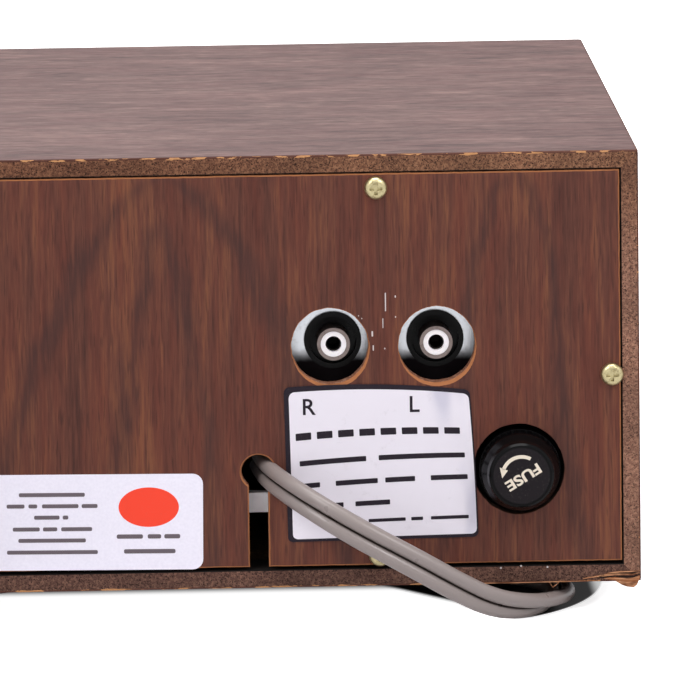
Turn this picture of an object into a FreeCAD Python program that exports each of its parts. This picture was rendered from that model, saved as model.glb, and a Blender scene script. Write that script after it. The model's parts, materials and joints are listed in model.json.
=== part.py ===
import FreeCAD, Part
import math
import os
from FreeCAD import Vector

# A compact home player for 8 track cartridges, in millimetres.
# X runs from left to right as seen from the front, Y from the front to the rear, Z up.
# The origin is on the floor, in the middle of the player's outline without its mains lead.

# ------------------------------------------------------------------ driving dimensions: cabinet
width = 300.0                 # cabinet, outside
depth = 230.0                 # cabinet, front edge to rear edge
height = 110.0                # cabinet, without its feet
board = 4.5                   # thickness of the cabinet's boards
arris = 0.6                   # rounding of the cabinet's long corners
panel_thickness = 4.5
panel_gap = 0.3               # round the back panel, at its top and ends
panel_gap_below = 0.9
panel_arris = 0.3             # broken edge of the panel and of its holes
block_section = 10.0          # glued blocks behind the panel's screws
block_length = 17.0

# Feet: pushed into the bottom board from below
foot_height = 8.0
foot_top_radius = 8.0
foot_bottom_radius = 6.6
foot_stem_radius = 2.5
foot_barb_radius = 3.4
foot_barb_height = 2.0
foot_inset = 21.0             # from the cabinet's end to a foot's centre
foot_setback = 52.0           # from the cabinet's front to a front foot's centre
foot_clear = 7.5              # from the deck's rear edge to a rear foot's centre

# Screws
panel_screw_head_radius = 2.9
panel_screw_head_height = 2.0
panel_screw_radius = 1.5
panel_screw_length = 12.0
panel_screw_below_top = 3.6   # from the panel's upper edge to a screw
panel_screw_above_base = 2.6  # from its lower edge
panel_screw_from_end = 2.2    # from its ends
panel_screw_inset = 66.0      # from the cabinet's end to the upper and lower screws
panel_screw_rise = 53.2       # from the cabinet's underside to the screws at its ends
fascia_screw_margin = 5.0     # from the fascia's edges to its screws
wood_screw_head_radius = 3.2
wood_screw_head_height = 2.1
wood_screw_radius = 1.6
wood_screw_length = 5.0

# Things on the rear, from the cabinet's left end and its underside
jack_inset = 51.1
jack_pitch = 25.9
jack_rise = 61.5
jack_hole_radius = 9.75
jack_hole_spread = 1.0        # the panel's holes are this much further apart than the jacks
fuse_inset = 30.5
fuse_rise = 29.2
fuse_hole_radius = 11.0
keyhole_inset = 96.5
keyhole_rise = 29.8
keyhole_radius = 4.35
keyhole_slot = 4.9
label_inset = 64.6
label_rise = 31.6
label_width = 48.0
label_height = 38.8
label_thickness = 0.3
label_corner = 2.6
sticker_inset = 143.2
sticker_rise = 18.2
sticker_width = 66.7
sticker_height = 25.4
sticker_thickness = 0.2
sticker_corner = 3.8

# Jacks and their plate
plate_setback = 10.9          # from the cabinet's rear to the plate's bright face
plate_thickness = 1.2
plate_margin = 12.0           # plate beyond the outer jack's and the fuse's centres
plate_leg = 14.0
plate_flange = 14.0
cup_flange_radius = 7.25
cup_flange = 0.7
cup_radius = 6.6
cup_depth = 6.0
dish_radius = 6.0
dish_depth = 2.6
shell_radius = 4.15
shell_bore = 3.25
shell_reach = 7.6             # shell in front of the plate
shell_tail_radius = 3.8
shell_tail = 9.0              # shell behind the plate's face
insulator_bore = 2.0
insulator_setback = 0.25
insulator_length = 12.0
contact_bore = 1.65
contact_depth = 9.0
contact_setback = 1.8
contact_length = 15.0

# Fuse
fuse_radius = 3.175
fuse_length = 31.8
fuse_clearance = 0.06
fuse_collar_radius = 10.3
fuse_collar_reach = 0.4       # collar beyond the cabinet's rear
fuse_body_radius = 6.2
fuse_wall = 2.5
cap_gap = 0.3
cap_skirt_radius = 10.2
cap_skirt = 4.2
cap_shoulder_radius = 8.6
cap_face_radius = 7.7
cap_bevel = 0.5
fuse_reach = 9.5              # cap's face beyond the cabinet's rear
cap_grip = 4.0                # fuse inside the cap
knurl_count = 36
knurl_radius = 0.35

# Front
fascia_recess = 8.0
fascia_thickness = 2.5
fit_gap = 0.3                 # between pieces that sit in one another
running_gap = 0.05            # round a shaft that turns or slides in its hole
knob_radius = 11.0
knob_length = 16.0
knob_gap = 0.8
knob_taper = 0.8
knob_flutes = 24
knob_flute_radius = 0.7
knob_pitch = 36.0
knob_inset = 32.0             # from the cabinet's left end to the first knob
knob_rise = 44.0              # from the cabinet's underside
shaft_radius = 3.0
shaft_in_knob = 11.0
pot_bushing_radius = 4.4
pot_radius = 8.5
pot_depth = 9.0
pot_nut_radius = 6.6
pot_nut = 2.0

# Cartridge bay, sized from the cartridge
cartridge_width = 101.6
cartridge_height = 22.2
bay_inset = 88.0              # from the cabinet's right end to the bay's middle
bay_rise = 54.0               # from the cabinet's underside to the slot's middle
slot_side = 2.2               # slot beyond the cartridge, each side
slot_room = 5.0               # slot above the cartridge, where the open door lies
bezel_border = 9.0
bezel_proud = 1.5
bezel_wall = 3.0
bezel_depth = 14.0
door_thickness = 2.0
door_gap = 0.4
door_setback = 3.0
hinge_pin_radius = 1.0
hinge_barrel_radius = 2.0
spring_wire = 0.3
spring_turns = 5
spring_room = 7.0             # barrel left free at one end for the spring

# Program selector on the front
button_width = 16.0
button_height = 9.0
button_proud = 4.0
button_travel = 2.5
button_flange = 1.5
button_rise = 88.0
button_right = 44.0           # from the bay's middle to the button
switch_depth = 16.0
switch_wall = 2.5
stem_width = 4.0
lens_width = 60.0
lens_height = 9.0
lens_thickness = 3.0
lens_left = 10.0              # from the bay's middle to the lens strip's middle
lamp_count = 4
lamp_radius = 1.8
lamp_length = 6.0
lamp_board = 1.6
lamp_post = 2.0

# Deck
sheet = 1.2                   # thickness of the deck's steel
deck_width = 128.0
deck_length = 148.0
deck_flange = 12.0            # width of the feet that the skirts are bent out into
deck_tab = 22.0               # and their length
deck_clear = 12.0             # from the fascia's back to the deck
rail_height = 8.0
bay_side = 2.6                # bay beyond the cartridge, each side
bay_length = 88.0             # from the fascia's back to the cartridge's inner end
capstan_offset = 28.0         # from the bay's middle to the capstan
capstan_radius = 2.0
capstan_rise = 24.0
capstan_foot = 22.0
bearing_radius = 4.0
bearing_flange_radius = 6.0
bearing_length = 14.0
bearing_flange = 1.5
flywheel_radius = 32.0
flywheel_height = 10.0
flywheel_web = 4.0
flywheel_rim = 8.0
flywheel_hub_radius = 6.0
motor_left = 40.0             # from the bay's middle to the motor
motor_back = 47.0             # from the capstan to the motor
motor_radius = 18.0
motor_height = 28.0
motor_boss_radius = 5.0
motor_boss = 2.5
pulley_radius = 6.0
pulley_height = 8.0
spindle_radius = 1.0
spindle_grip = 8.0
belt_width = 4.0
belt_thickness = 0.8
belt_gap = 0.3

# Head, program cam and solenoid
head_width = 14.0
head_depth = 11.0
head_height = 13.0
head_lift = 2.35
head_rise = 11.4              # from the deck to the head's middle
carriage_tab = 1.5
carriage_plate = 2.0
carriage_gap = 7.2            # from the deck to the carriage's plate
carriage_sleeve_radius = 4.0
carriage_sleeve = 10.0
carriage_length = 18.0
post_radius = 2.0
post_right = 12.0
post_back = 9.0
cam_left = 18.0
cam_back = 12.0
cam_radius = 10.5
cam_base = 1.5
cam_ring_inner = 6.0
cam_ring_outer = 10.0
cam_steps = 4
cam_gap = 1.0                 # under the ratchet
ratchet_height = 2.0
ratchet_radius = 7.0
ratchet_tooth = 1.4
ratchet_teeth = 8
stud_radius = 2.0
follower_radius = 1.1
follower_gap = 0.6
solenoid_width = 26.0
solenoid_depth = 20.0
solenoid_height = 18.0
solenoid_right = 12.0
solenoid_back = 46.0
plunger_radius = 3.5
plunger_travel = 5.0
plunger_out = 14.0
pawl_thickness = 3.0
pawl_clear = 0.6

# Cartridge latch
latch_thickness = 2.0
latch_width = 8.0
latch_arm = 30.0
latch_forward = 36.0          # from the bay's inner end to the roller
latch_boss_radius = 4.0
latch_rise = 4.0
latch_swing = 4.0             # how far the roller gives way
roller_radius = 4.0
roller_height = 7.0
roller_pin = 1.5
roller_bite = 2.5             # roller inside the bay

# Power supply and amplifier
core_width = 57.0
core_height = 48.0
core_stack = 26.0
core_leg = 19.0
core_ear = 10.0
coil_swell = 9.0              # coil beyond the core, front and rear
coil_gap = 0.25
transformer_clear = 2.4       # from the cord clamp to the transformer's ear
transformer_setback = 33.0
amp_depth = 84.0
amp_thickness = 1.6
amp_inset = 11.5              # from the cabinet's left side to the board
amp_clear = 8.0               # from the board to the deck's feet
amp_setback = 62.0
spacer_radius = 3.0
spacer_height = 6.0
spacer_margin = 6.0
capacitor_radius = 8.0
capacitor_height = 26.0
capacitor_pitch = 20.0
capacitor_margin = 8.0        # from the board's right edge to a capacitor
sink_gap = 6.0                # from the capacitors to the heat sink
sink_depth = 16.0
sink_height = 26.0
sink_fins = 6
sink_fin = 1.6
sink_base = 3.0

# Cord clamp and mains lead
clamp_width = 10.0
clamp_bar = 5.0               # height of the bar seen through the keyhole's slot
clamp_bar_rise = 18.2
clamp_bar_setback = 7.0
clamp_bar_depth = 4.0
clamp_bar_beyond = 6.0
clamp_setback = 18.0
clamp_depth = 12.0
clamp_height = 37.0
clamp_side = 4.6              # from the keyhole's middle to the clamp
cord_radius = 2.5
coil_x = 66.0                 # coil of spare lead, standing off the rear
coil_off = 60.0
coil_middle_radius = 38.0
coil_bundle = 15.6
coil_height = 12.4
coil_round = 2.5
plug_width = 25.0
plug_length = 30.0
plug_height = 13.0
plug_round = 3.0
blade_width = 6.35
blade_thickness = 1.5
blade_length = 17.5
blade_pitch = 12.7
blade_grip = 6.0

# ------------------------------------------------------------------ places worked out from them
X, Y, Z = Vector(1, 0, 0), Vector(0, 1, 0), Vector(0, 0, 1)
knob_reach = knob_length + knob_gap - fascia_recess
rear = (depth + knob_reach - fuse_reach) / 2
front = rear - depth
left, right = -width / 2, width / 2
base, top = foot_height, foot_height + height
inner_left, inner_right = left + board, right - board
floor, ceiling = base + board, top - board
fascia_front = front + fascia_recess
fascia_back = fascia_front + fascia_thickness
jack_places = [(left + jack_inset + n * jack_pitch, base + jack_rise) for n in (0, 1)]
fuse_x, fuse_z = left + fuse_inset, base + fuse_rise
keyhole_x, keyhole_z = left + keyhole_inset, base + keyhole_rise
clamp_left, clamp_front = keyhole_x + clamp_side, rear - clamp_setback
plate_front = rear - plate_setback
plate_back = plate_front - plate_thickness
knob_z = base + knob_rise
knob_places = [left + knob_inset + n * knob_pitch for n in range(3)]
bay_x = right - bay_inset
slot_width = cartridge_width + 2 * slot_side
slot_height = cartridge_height + slot_room
slot_floor = base + bay_rise - slot_height / 2
slot_ceiling = slot_floor + slot_height
deck = slot_floor + fit_gap
deck_front = fascia_back + deck_clear
deck_left, deck_right = bay_x - deck_width / 2, bay_x + deck_width / 2
bay_end = fascia_back + bay_length
capstan_x, capstan_y = bay_x + capstan_offset, bay_end + capstan_radius + 1
motor_x, motor_y = bay_x - motor_left, capstan_y + motor_back
flywheel_top = deck - bearing_length + bearing_flange - fit_gap
flywheel_floor = flywheel_top - flywheel_height
belt_floor = flywheel_floor + (flywheel_height - belt_width) / 2
bay_half = cartridge_width / 2 + bay_side
hinge_y = fascia_front - bezel_proud + door_setback + door_thickness / 2
hinge_z = slot_ceiling - door_gap - hinge_barrel_radius


# ------------------------------------------------------------------ helpers
def box(x0, x1, y0, y1, z0, z1):
    return Part.makeBox(x1 - x0, y1 - y0, z1 - z0, Vector(x0, y0, z0))


def rod(radius, start, axis, length):
    return Part.makeCylinder(radius, length, Vector(*start), axis)


def sleeve(outer, inner, start, axis, length):
    return rod(outer, start, axis, length).cut(rod(inner, start, axis, length))


def outline(points, plane, start, thickness):
    """A prism: its outline is in the plane across Y or Z, and it is extruded along that axis."""
    if plane is Y:
        corners = [Vector(a, start, b) for a, b in points]
    else:
        corners = [Vector(a, b, start) for a, b in points]
    return Part.Face(Part.makePolygon(corners + corners[:1])).extrude(plane * thickness)


def turned(profile, at, axis):
    """A solid of revolution from (radius, distance along the axis) points, set at a place on an axis."""
    corners = [Vector(radius, 0, along) for radius, along in profile]
    face = Part.Face(Part.makePolygon(corners + corners[:1]))
    return placed(face.revolve(Vector(), Z, 360), at, axis)


def placed(shape, at, axis):
    """The shape, made round +Z at the origin, moved to a place with +Z along the axis."""
    moved = shape.copy()
    moved.Placement = FreeCAD.Placement(Vector(*at), FreeCAD.Rotation(Z, axis))
    return moved


def rounded(shape, radius, axis):
    """The shape with its edges along one axis rounded."""
    edges = [e for e in shape.Edges if e.Length and abs(e.tangentAt(e.FirstParameter).dot(axis)) > 0.999
             and e.Curve.TypeId == "Part::GeomLine"]
    return shape.makeFillet(radius, edges)


def cross_head_screw(head_radius, head_height, radius, length):
    """A pan-head screw along +Z, its head standing on the origin."""
    head = Part.makeCylinder(head_radius, head_height)
    rim = [e for e in head.Edges if e.CenterOfMass.z > head_height * 0.9]
    head = head.makeFillet(head_height * 0.7, rim)
    slot, reach, sink = head_radius * 0.3, head_radius * 1.1, head_height * 0.65
    for across, along in ((slot, reach), (reach, slot)):
        head = head.cut(box(-across / 2, across / 2, -along / 2, along / 2,
                            head_height - sink, head_height + 1))
    tip = min(radius, length / 3)
    shank = Part.makeCylinder(radius, length - tip, Vector(0, 0, tip - length))
    point = Part.makeCone(0, radius, tip, Vector(0, 0, -length))
    return head.fuse(shank).fuse(point).removeSplitter()


def hull_of_two(first, first_radius, second, second_radius, z, thickness):
    """The prism of a band stretched round two circles."""
    (ax, ay), (bx, by) = first, second
    between = math.hypot(bx - ax, by - ay)
    heading = math.atan2(by - ay, bx - ax)
    lean = math.acos((first_radius - second_radius) / between)

    def on(centre, radius, angle):
        return Vector(centre[0] + radius * math.cos(angle), centre[1] + radius * math.sin(angle), z)

    high, low = heading + lean, heading - lean
    edges = [
        Part.makeLine(on(first, first_radius, low), on(second, second_radius, low)),
        Part.Arc(on(second, second_radius, low), on(second, second_radius, heading),
                 on(second, second_radius, high)).toShape(),
        Part.makeLine(on(second, second_radius, high), on(first, first_radius, high)),
        Part.Arc(on(first, first_radius, high), on(first, first_radius, heading + math.pi),
                 on(first, first_radius, low)).toShape(),
    ]
    return Part.Face(Part.Wire(edges)).extrude(Z * thickness)


# ------------------------------------------------------------------ cabinet
def cabinet_boards():
    """Four boards with mitred corners, cut from one rectangular sleeve."""
    solid = rounded(box(left, right, front, rear, base, top), arris, Y)
    solid = solid.cut(box(inner_left, inner_right, front - 1, rear + 1, floor, ceiling))
    corners = {
        "cabinet_top": [(left, top), (right, top), (inner_right, ceiling), (inner_left, ceiling)],
        "cabinet_bottom": [(left, base), (right, base), (inner_right, floor), (inner_left, floor)],
        "cabinet_left_side": [(left, top), (inner_left, ceiling), (inner_left, floor), (left, base)],
        "cabinet_right_side": [(right, top), (inner_right, ceiling), (inner_right, floor), (right, base)],
    }
    return {name: solid.common(outline(points, Y, front, depth)) for name, points in corners.items()}


def foot_places():
    return [(x, y) for x in (left + foot_inset, right - foot_inset)
            for y in (front + foot_setback, deck_front + deck_length + foot_clear)]


def feet():
    profile = [(0, 0), (foot_bottom_radius, 0), (foot_top_radius, foot_height),
               (foot_stem_radius, foot_height), (foot_stem_radius, floor), (foot_barb_radius, floor),
               (foot_stem_radius, floor + foot_barb_height), (0, floor + foot_barb_height)]
    return [turned(profile, (x, y, 0), Z) for x, y in foot_places()]


def rear_screw_places():
    """Where the back panel's screws go, and which way the nearest board lies."""
    low = floor + panel_gap_below + panel_screw_above_base
    high = ceiling - panel_gap - panel_screw_below_top
    aside = inner_right - panel_gap - panel_screw_from_end
    places = [(side * (width / 2 - panel_screw_inset), z, (0, up))
              for side in (-1, 1) for z, up in ((low, -1), (high, 1))]
    return places + [(side * aside, base + panel_screw_rise, (side, 0)) for side in (-1, 1)]


def front_screw_places():
    aside = inner_right - fit_gap - fascia_screw_margin
    return [(side * aside, z) for side in (-1, 1)
            for z in (floor + fascia_screw_margin, ceiling - fascia_screw_margin)]


def panel_screws():
    screw = cross_head_screw(panel_screw_head_radius, panel_screw_head_height,
                             panel_screw_radius, panel_screw_length)
    return ([placed(screw, (x, rear, z), Y) for x, z, _ in rear_screw_places()] +
            [placed(screw, (x, fascia_front, z), -Y) for x, z in front_screw_places()])


def panel_blocks(screws):
    """Blocks glued to the boards, which the back panel and the fascia are screwed to."""
    blocks = []
    y0, y1 = rear - panel_thickness - block_section, rear - panel_thickness
    for x, z, (aside, up) in rear_screw_places():
        if up:
            edge = ceiling if up > 0 else floor
            blocks.append(box(x - block_length / 2, x + block_length / 2, y0, y1,
                              min(edge, edge - up * block_section), max(edge, edge - up * block_section)))
        else:
            edge = inner_right if aside > 0 else inner_left
            blocks.append(box(min(edge, edge - aside * block_section),
                              max(edge, edge - aside * block_section),
                              y0, y1, z - block_length / 2, z + block_length / 2))
    for x0 in (inner_left, inner_right - block_section):
        for z0 in (floor, ceiling - block_length):
            blocks.append(box(x0, x0 + block_section, fascia_back, fascia_back + block_section,
                              z0, z0 + block_length))
    return [block.cut(screw) for block, screw in zip(blocks, screws)]


def back_panel():
    inside = rear - panel_thickness
    panel = box(inner_left + panel_gap, inner_right - panel_gap, inside, rear,
                floor + panel_gap_below, ceiling - panel_gap)
    for n, (x, z) in enumerate(jack_places):
        panel = panel.cut(rod(jack_hole_radius, (x + n * jack_hole_spread, inside, z), Y, panel_thickness))
    panel = panel.cut(rod(fuse_hole_radius, (fuse_x, inside, fuse_z), Y, panel_thickness))
    keyhole = rod(keyhole_radius, (keyhole_x, inside, keyhole_z), Y, panel_thickness)
    keyhole = keyhole.fuse(box(keyhole_x - keyhole_slot / 2, keyhole_x + keyhole_slot / 2,
                               inside, rear, floor, keyhole_z))
    panel = panel.cut(keyhole)
    outer = [e for e in panel.Edges if all(abs(v.Y - rear) < 1e-6 for v in e.Vertexes)
             and abs(e.CenterOfMass.y - rear) < 1e-6]
    panel = panel.makeChamfer(panel_arris, outer)
    for x, z, _ in rear_screw_places():
        panel = panel.cut(rod(panel_screw_radius, (x, inside, z), Y, panel_thickness))
    return panel


def thin_plate(x, z, plate_width, plate_height, corner, thickness):
    """A label lying on the back panel's face."""
    plate = box(x - plate_width / 2, x + plate_width / 2, rear, rear + thickness,
                z - plate_height / 2, z + plate_height / 2)
    return rounded(plate, corner, Y)


# ------------------------------------------------------------------ jacks and fuse
def jack_parts():
    """The four pieces of each phono jack, from the outside in."""
    parts = {"jack_cups": [], "jack_shells": [], "jack_insulators": [], "jack_contacts": []}
    seat = plate_front + cup_flange
    dish = seat - dish_depth
    tip = plate_front + shell_reach
    for x, z in jack_places:
        cup = rod(cup_flange_radius, (x, plate_front, z), Y, cup_flange)
        cup = cup.fuse(rod(cup_radius, (x, plate_front - cup_depth, z), Y, cup_depth))
        cup = cup.cut(rod(dish_radius, (x, dish, z), Y, dish_depth))
        cup = cup.cut(rod(shell_tail_radius, (x, plate_front - cup_depth, z), Y, cup_depth))
        parts["jack_cups"].append(cup.removeSplitter())
        tail = plate_front - shell_tail
        shell = rod(shell_tail_radius, (x, tail, z), Y, dish - tail)
        shell = shell.fuse(rod(shell_radius, (x, dish, z), Y, tip - dish))
        parts["jack_shells"].append(shell.cut(rod(shell_bore, (x, tail, z), Y, tip - tail)))
        start = tip - insulator_setback - insulator_length
        parts["jack_insulators"].append(
            sleeve(shell_bore, insulator_bore, (x, start, z), Y, insulator_length))
        mouth = tip - contact_setback
        contact = rod(insulator_bore, (x, mouth - contact_length, z), Y, contact_length)
        parts["jack_contacts"].append(
            contact.cut(rod(contact_bore, (x, mouth - contact_depth, z), Y, contact_depth)))
    return parts


def jack_bracket(screws):
    """Bright plate behind the panel, standing on two legs with flanges screwed to the bottom board."""
    x0, x1 = fuse_x - plate_margin, jack_places[1][0] + plate_margin
    waist = floor + block_section + sheet
    upper = jack_places[0][1] + plate_margin
    plate = box(x0, x1, plate_back, plate_front, waist, upper)
    for start in (x0, x1 - plate_leg):
        plate = plate.fuse(box(start, start + plate_leg, plate_back, plate_front, floor, waist))
        plate = plate.fuse(box(start, start + plate_leg, plate_back - plate_flange, plate_front,
                               floor, floor + plate_thickness))
    for x, z in jack_places:
        plate = plate.cut(rod(cup_radius, (x, plate_back, z), Y, plate_thickness))
    plate = plate.cut(rod(fuse_body_radius, (fuse_x, plate_back, fuse_z), Y, plate_thickness))
    for screw in screws:
        plate = plate.cut(screw)
    return plate.removeSplitter()


def bracket_screw_places():
    x0, x1 = fuse_x - plate_margin, jack_places[1][0] + plate_margin
    return [(x, plate_back - plate_flange / 2, floor + plate_thickness)
            for x in (x0 + plate_leg / 2, x1 - plate_leg / 2)]


fuse_outer_end = rear + fuse_collar_reach + cap_gap + cap_grip
fuse_inner_end = fuse_outer_end - fuse_length


def fuse_holder():
    end = fuse_inner_end - fit_gap - fuse_wall
    holder = rod(fuse_collar_radius, (fuse_x, plate_front, fuse_z), Y,
                 rear + fuse_collar_reach - plate_front)
    holder = holder.fuse(rod(fuse_body_radius, (fuse_x, end, fuse_z), Y, plate_front - end))
    bore = fuse_radius + fuse_clearance
    holder = holder.cut(rod(bore, (fuse_x, end + fuse_wall, fuse_z), Y, rear + fuse_collar_reach - end))
    lug = box(fuse_x - sheet / 2, fuse_x + sheet / 2, end - fuse_wall * 3, end,
              fuse_z - fuse_wall, fuse_z + fuse_wall)
    return holder.fuse(lug).removeSplitter()


def fuse_cap():
    """Knurled cap: a skirt, a shoulder and a bevelled front disc."""
    start = rear + fuse_collar_reach + cap_gap
    tall = rear + fuse_reach - start
    neck = (cap_skirt + tall) / 2
    profile = [(0, 0), (cap_skirt_radius, 0), (cap_skirt_radius - cap_bevel, cap_skirt),
               (cap_shoulder_radius, neck), (cap_face_radius + cap_bevel, tall - cap_bevel),
               (cap_face_radius, tall), (0, tall)]
    cap = turned(profile, (fuse_x, start, fuse_z), Y)
    grooves = [rod(knurl_radius, (fuse_x + cap_skirt_radius * math.cos(turn), start,
                                  fuse_z + cap_skirt_radius * math.sin(turn)), Y, cap_skirt)
               for turn in (2 * math.pi * n / knurl_count for n in range(knurl_count))]
    cap = cap.cut(Part.makeCompound(grooves))
    return cap.cut(rod(fuse_radius + fuse_clearance, (fuse_x, start, fuse_z), Y, cap_grip + fit_gap))


def fuse_tube():
    return rod(fuse_radius, (fuse_x, fuse_inner_end, fuse_z), Y, fuse_length)


# ------------------------------------------------------------------ front
def fascia_cutouts():
    """What goes through the fascia: the bezel's sleeve, three bushings, the button and the lens."""
    y0, y1 = fascia_front - 1, fascia_back + 1
    wide, tall = slot_width / 2 + bezel_wall + fit_gap, bezel_wall + fit_gap
    cuts = [box(bay_x - wide, bay_x + wide, y0, y1, slot_floor - tall, slot_ceiling + tall)]
    cuts += [rod(pot_bushing_radius + running_gap, (x, y0, knob_z), Y, y1 - y0) for x in knob_places]
    x, z = button_centre()
    half_wide, half_tall = button_width / 2 + fit_gap, button_height / 2 + fit_gap
    cuts.append(box(x - half_wide, x + half_wide, y0, y1, z - half_tall, z + half_tall))
    cuts.append(lens_strip())
    return cuts


def button_centre():
    return bay_x + button_right, base + button_rise


def front_fascia(screws):
    plate = box(inner_left + fit_gap, inner_right - fit_gap, fascia_front, fascia_back,
                floor, ceiling - fit_gap)
    for cut in fascia_cutouts() + screws:
        plate = plate.cut(cut)
    return plate


def cartridge_bezel(pin):
    """A frame on the fascia's face with a sleeve through it, and a stop for the door."""
    half = slot_width / 2
    flange = box(bay_x - half - bezel_border, bay_x + half + bezel_border,
                 fascia_front - bezel_proud, fascia_front,
                 slot_floor - bezel_border, slot_ceiling + bezel_border)
    flange = rounded(flange, bezel_border / 3, Y)
    body = flange.fuse(box(bay_x - half - bezel_wall, bay_x + half + bezel_wall,
                           fascia_front, fascia_front + bezel_depth,
                           slot_floor - bezel_wall, slot_ceiling + bezel_wall))
    body = body.cut(box(bay_x - half, bay_x + half, fascia_front - bezel_proud - 1,
                        fascia_front + bezel_depth + 1, slot_floor, slot_ceiling))
    return body.cut(pin).removeSplitter()


def door_hinge_pin():
    reach = slot_width / 2 + bezel_wall * 0.8
    return rod(hinge_pin_radius, (bay_x - reach, hinge_y, hinge_z), X, 2 * reach)


def cartridge_door():
    half = slot_width / 2 - door_gap
    leaf = box(bay_x - half, bay_x + half, hinge_y - door_thickness / 2, hinge_y + door_thickness / 2,
               slot_floor + door_gap, hinge_z - hinge_barrel_radius - spring_wire)
    barrel_left = bay_x - half + spring_room
    neck = box(barrel_left, bay_x + half, hinge_y - door_thickness / 2, hinge_y + door_thickness / 2,
               hinge_z - hinge_barrel_radius - spring_wire, hinge_z)
    barrel = rod(hinge_barrel_radius, (barrel_left, hinge_y, hinge_z), X, bay_x + half - barrel_left)
    leaf = leaf.fuse(neck).fuse(barrel)
    bore = rod(hinge_pin_radius + running_gap, (bay_x - half, hinge_y, hinge_z), X, 2 * half)
    return leaf.cut(bore).removeSplitter()


def door_spring():
    """A torsion spring: turns round the pin, and one leg down behind the door's leaf."""
    mean = hinge_pin_radius + spring_wire * 2
    pitch = spring_wire * 3
    start = bay_x - slot_width / 2 + door_gap + spring_wire * 2
    turns = Part.makeHelix(pitch, pitch * spring_turns, mean)
    coil = Part.Wire(turns.Edges)
    section = Part.Wire(Part.makeCircle(spring_wire, Vector(mean, 0, 0), Y))
    spring = coil.makePipeShell([section], True, True)
    spring.Placement = FreeCAD.Placement(Vector(start, hinge_y, hinge_z), FreeCAD.Rotation(Y, 90))
    return spring


def knob(x):
    start = fascia_front - knob_gap
    profile = [(0, 0), (knob_radius, 0), (knob_radius - knob_taper, knob_length - knob_taper),
               (knob_radius - 2 * knob_taper, knob_length), (0, knob_length)]
    body = turned(profile, (x, start, knob_z), -Y)
    flutes = [rod(knob_flute_radius, (x + knob_radius * math.cos(turn), start,
                                      knob_z + knob_radius * math.sin(turn)), -Y, knob_length)
              for turn in (2 * math.pi * n / knob_flutes for n in range(knob_flutes))]
    body = body.cut(Part.makeCompound(flutes))
    body = body.cut(rod(pot_nut_radius + knob_gap, (x, start, knob_z), -Y, pot_nut))
    return body.cut(rod(shaft_radius, (x, start, knob_z), -Y, shaft_in_knob))


def knob_shaft(x):
    outer = fascia_front - knob_gap - shaft_in_knob
    return rod(shaft_radius, (x, outer, knob_z), Y, fascia_back + pot_depth * 0.7 - outer)


def control_pots():
    pots = []
    for x in knob_places:
        pot = rod(pot_radius, (x, fascia_back, knob_z), Y, pot_depth)
        pot = pot.fuse(rod(pot_bushing_radius, (x, fascia_front - pot_nut, knob_z), Y,
                           fascia_thickness + pot_nut))
        nut = outline([(x + pot_nut_radius * math.cos(math.pi * n / 3),
                        knob_z + pot_nut_radius * math.sin(math.pi * n / 3)) for n in range(6)],
                      Y, fascia_front - pot_nut + running_gap, pot_nut - running_gap)
        pot = pot.fuse(nut)
        bore_start = fascia_front - pot_nut
        pots.append(pot.cut(rod(shaft_radius + running_gap, (x, bore_start, knob_z), Y,
                                fascia_back + pot_depth * 0.7 + fit_gap - bore_start)).removeSplitter())
    return pots


def program_button():
    x, z = button_centre()
    cap = box(x - button_width / 2, x + button_width / 2, fascia_front - button_proud, fascia_back,
              z - button_height / 2, z + button_height / 2)
    cap = rounded(cap, 1.0, Y)
    flange = box(x - button_width / 2 - button_flange, x + button_width / 2 + button_flange,
                 fascia_back + fit_gap, fascia_back + fit_gap + button_flange,
                 z - button_height / 2 - button_flange, z + button_height / 2 + button_flange)
    neck = box(x - stem_width, x + stem_width, fascia_back, fascia_back + fit_gap,
               z - stem_width / 2, z + stem_width / 2)
    stem = box(x - stem_width / 2, x + stem_width / 2, fascia_back + button_flange,
               fascia_back + switch_depth - switch_wall - button_travel - fit_gap,
               z - stem_width / 2, z + stem_width / 2)
    return cap.fuse(neck).fuse(flange).fuse(stem).removeSplitter()


def program_switch():
    """The housing behind the fascia that guides the button's stem."""
    x, z = button_centre()
    half_wide = button_width / 2 + button_flange + fit_gap
    half_tall = button_height / 2 + button_flange + fit_gap
    body = box(x - half_wide - switch_wall, x + half_wide + switch_wall, fascia_back,
               fascia_back + switch_depth, z - half_tall - switch_wall, z + half_tall + switch_wall)
    pocket = box(x - half_wide, x + half_wide, fascia_back,
                 fascia_back + button_flange + button_travel + 2 * fit_gap, z - half_tall, z + half_tall)
    half = stem_width / 2 + running_gap
    guide = box(x - half, x + half, fascia_back, fascia_back + switch_depth - switch_wall,
                z - half, z + half)
    return body.cut(pocket).cut(guide)


def lens_strip():
    x, z = bay_x - lens_left, base + button_rise
    strip = box(x - lens_width / 2, x + lens_width / 2, fascia_back - lens_thickness, fascia_back,
                z - lens_height / 2, z + lens_height / 2)
    return rounded(strip, 1.0, Y)


def lamp_strip():
    """Four lamps on a small board, held off the fascia's back by two posts."""
    x, z = bay_x - lens_left, base + button_rise
    y = fascia_back + lamp_length + lamp_radius
    half = lens_width / 2 + 3 * lamp_post
    carrier = box(x - half, x + half, y, y + lamp_board, z - lens_height / 2, z + lens_height / 2)
    for side in (-1, 1):
        carrier = carrier.fuse(rod(lamp_post, (x + side * (half - lamp_post), fascia_back, z), Y,
                                   y - fascia_back))
    lamps = []
    for n in range(lamp_count):
        lamp_x = x + lens_width * ((n + 0.5) / lamp_count - 0.5)
        lamp = rod(lamp_radius, (lamp_x, y - lamp_length, z), Y, lamp_length)
        lamps.append(lamp)
    return [carrier] + lamps


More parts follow.
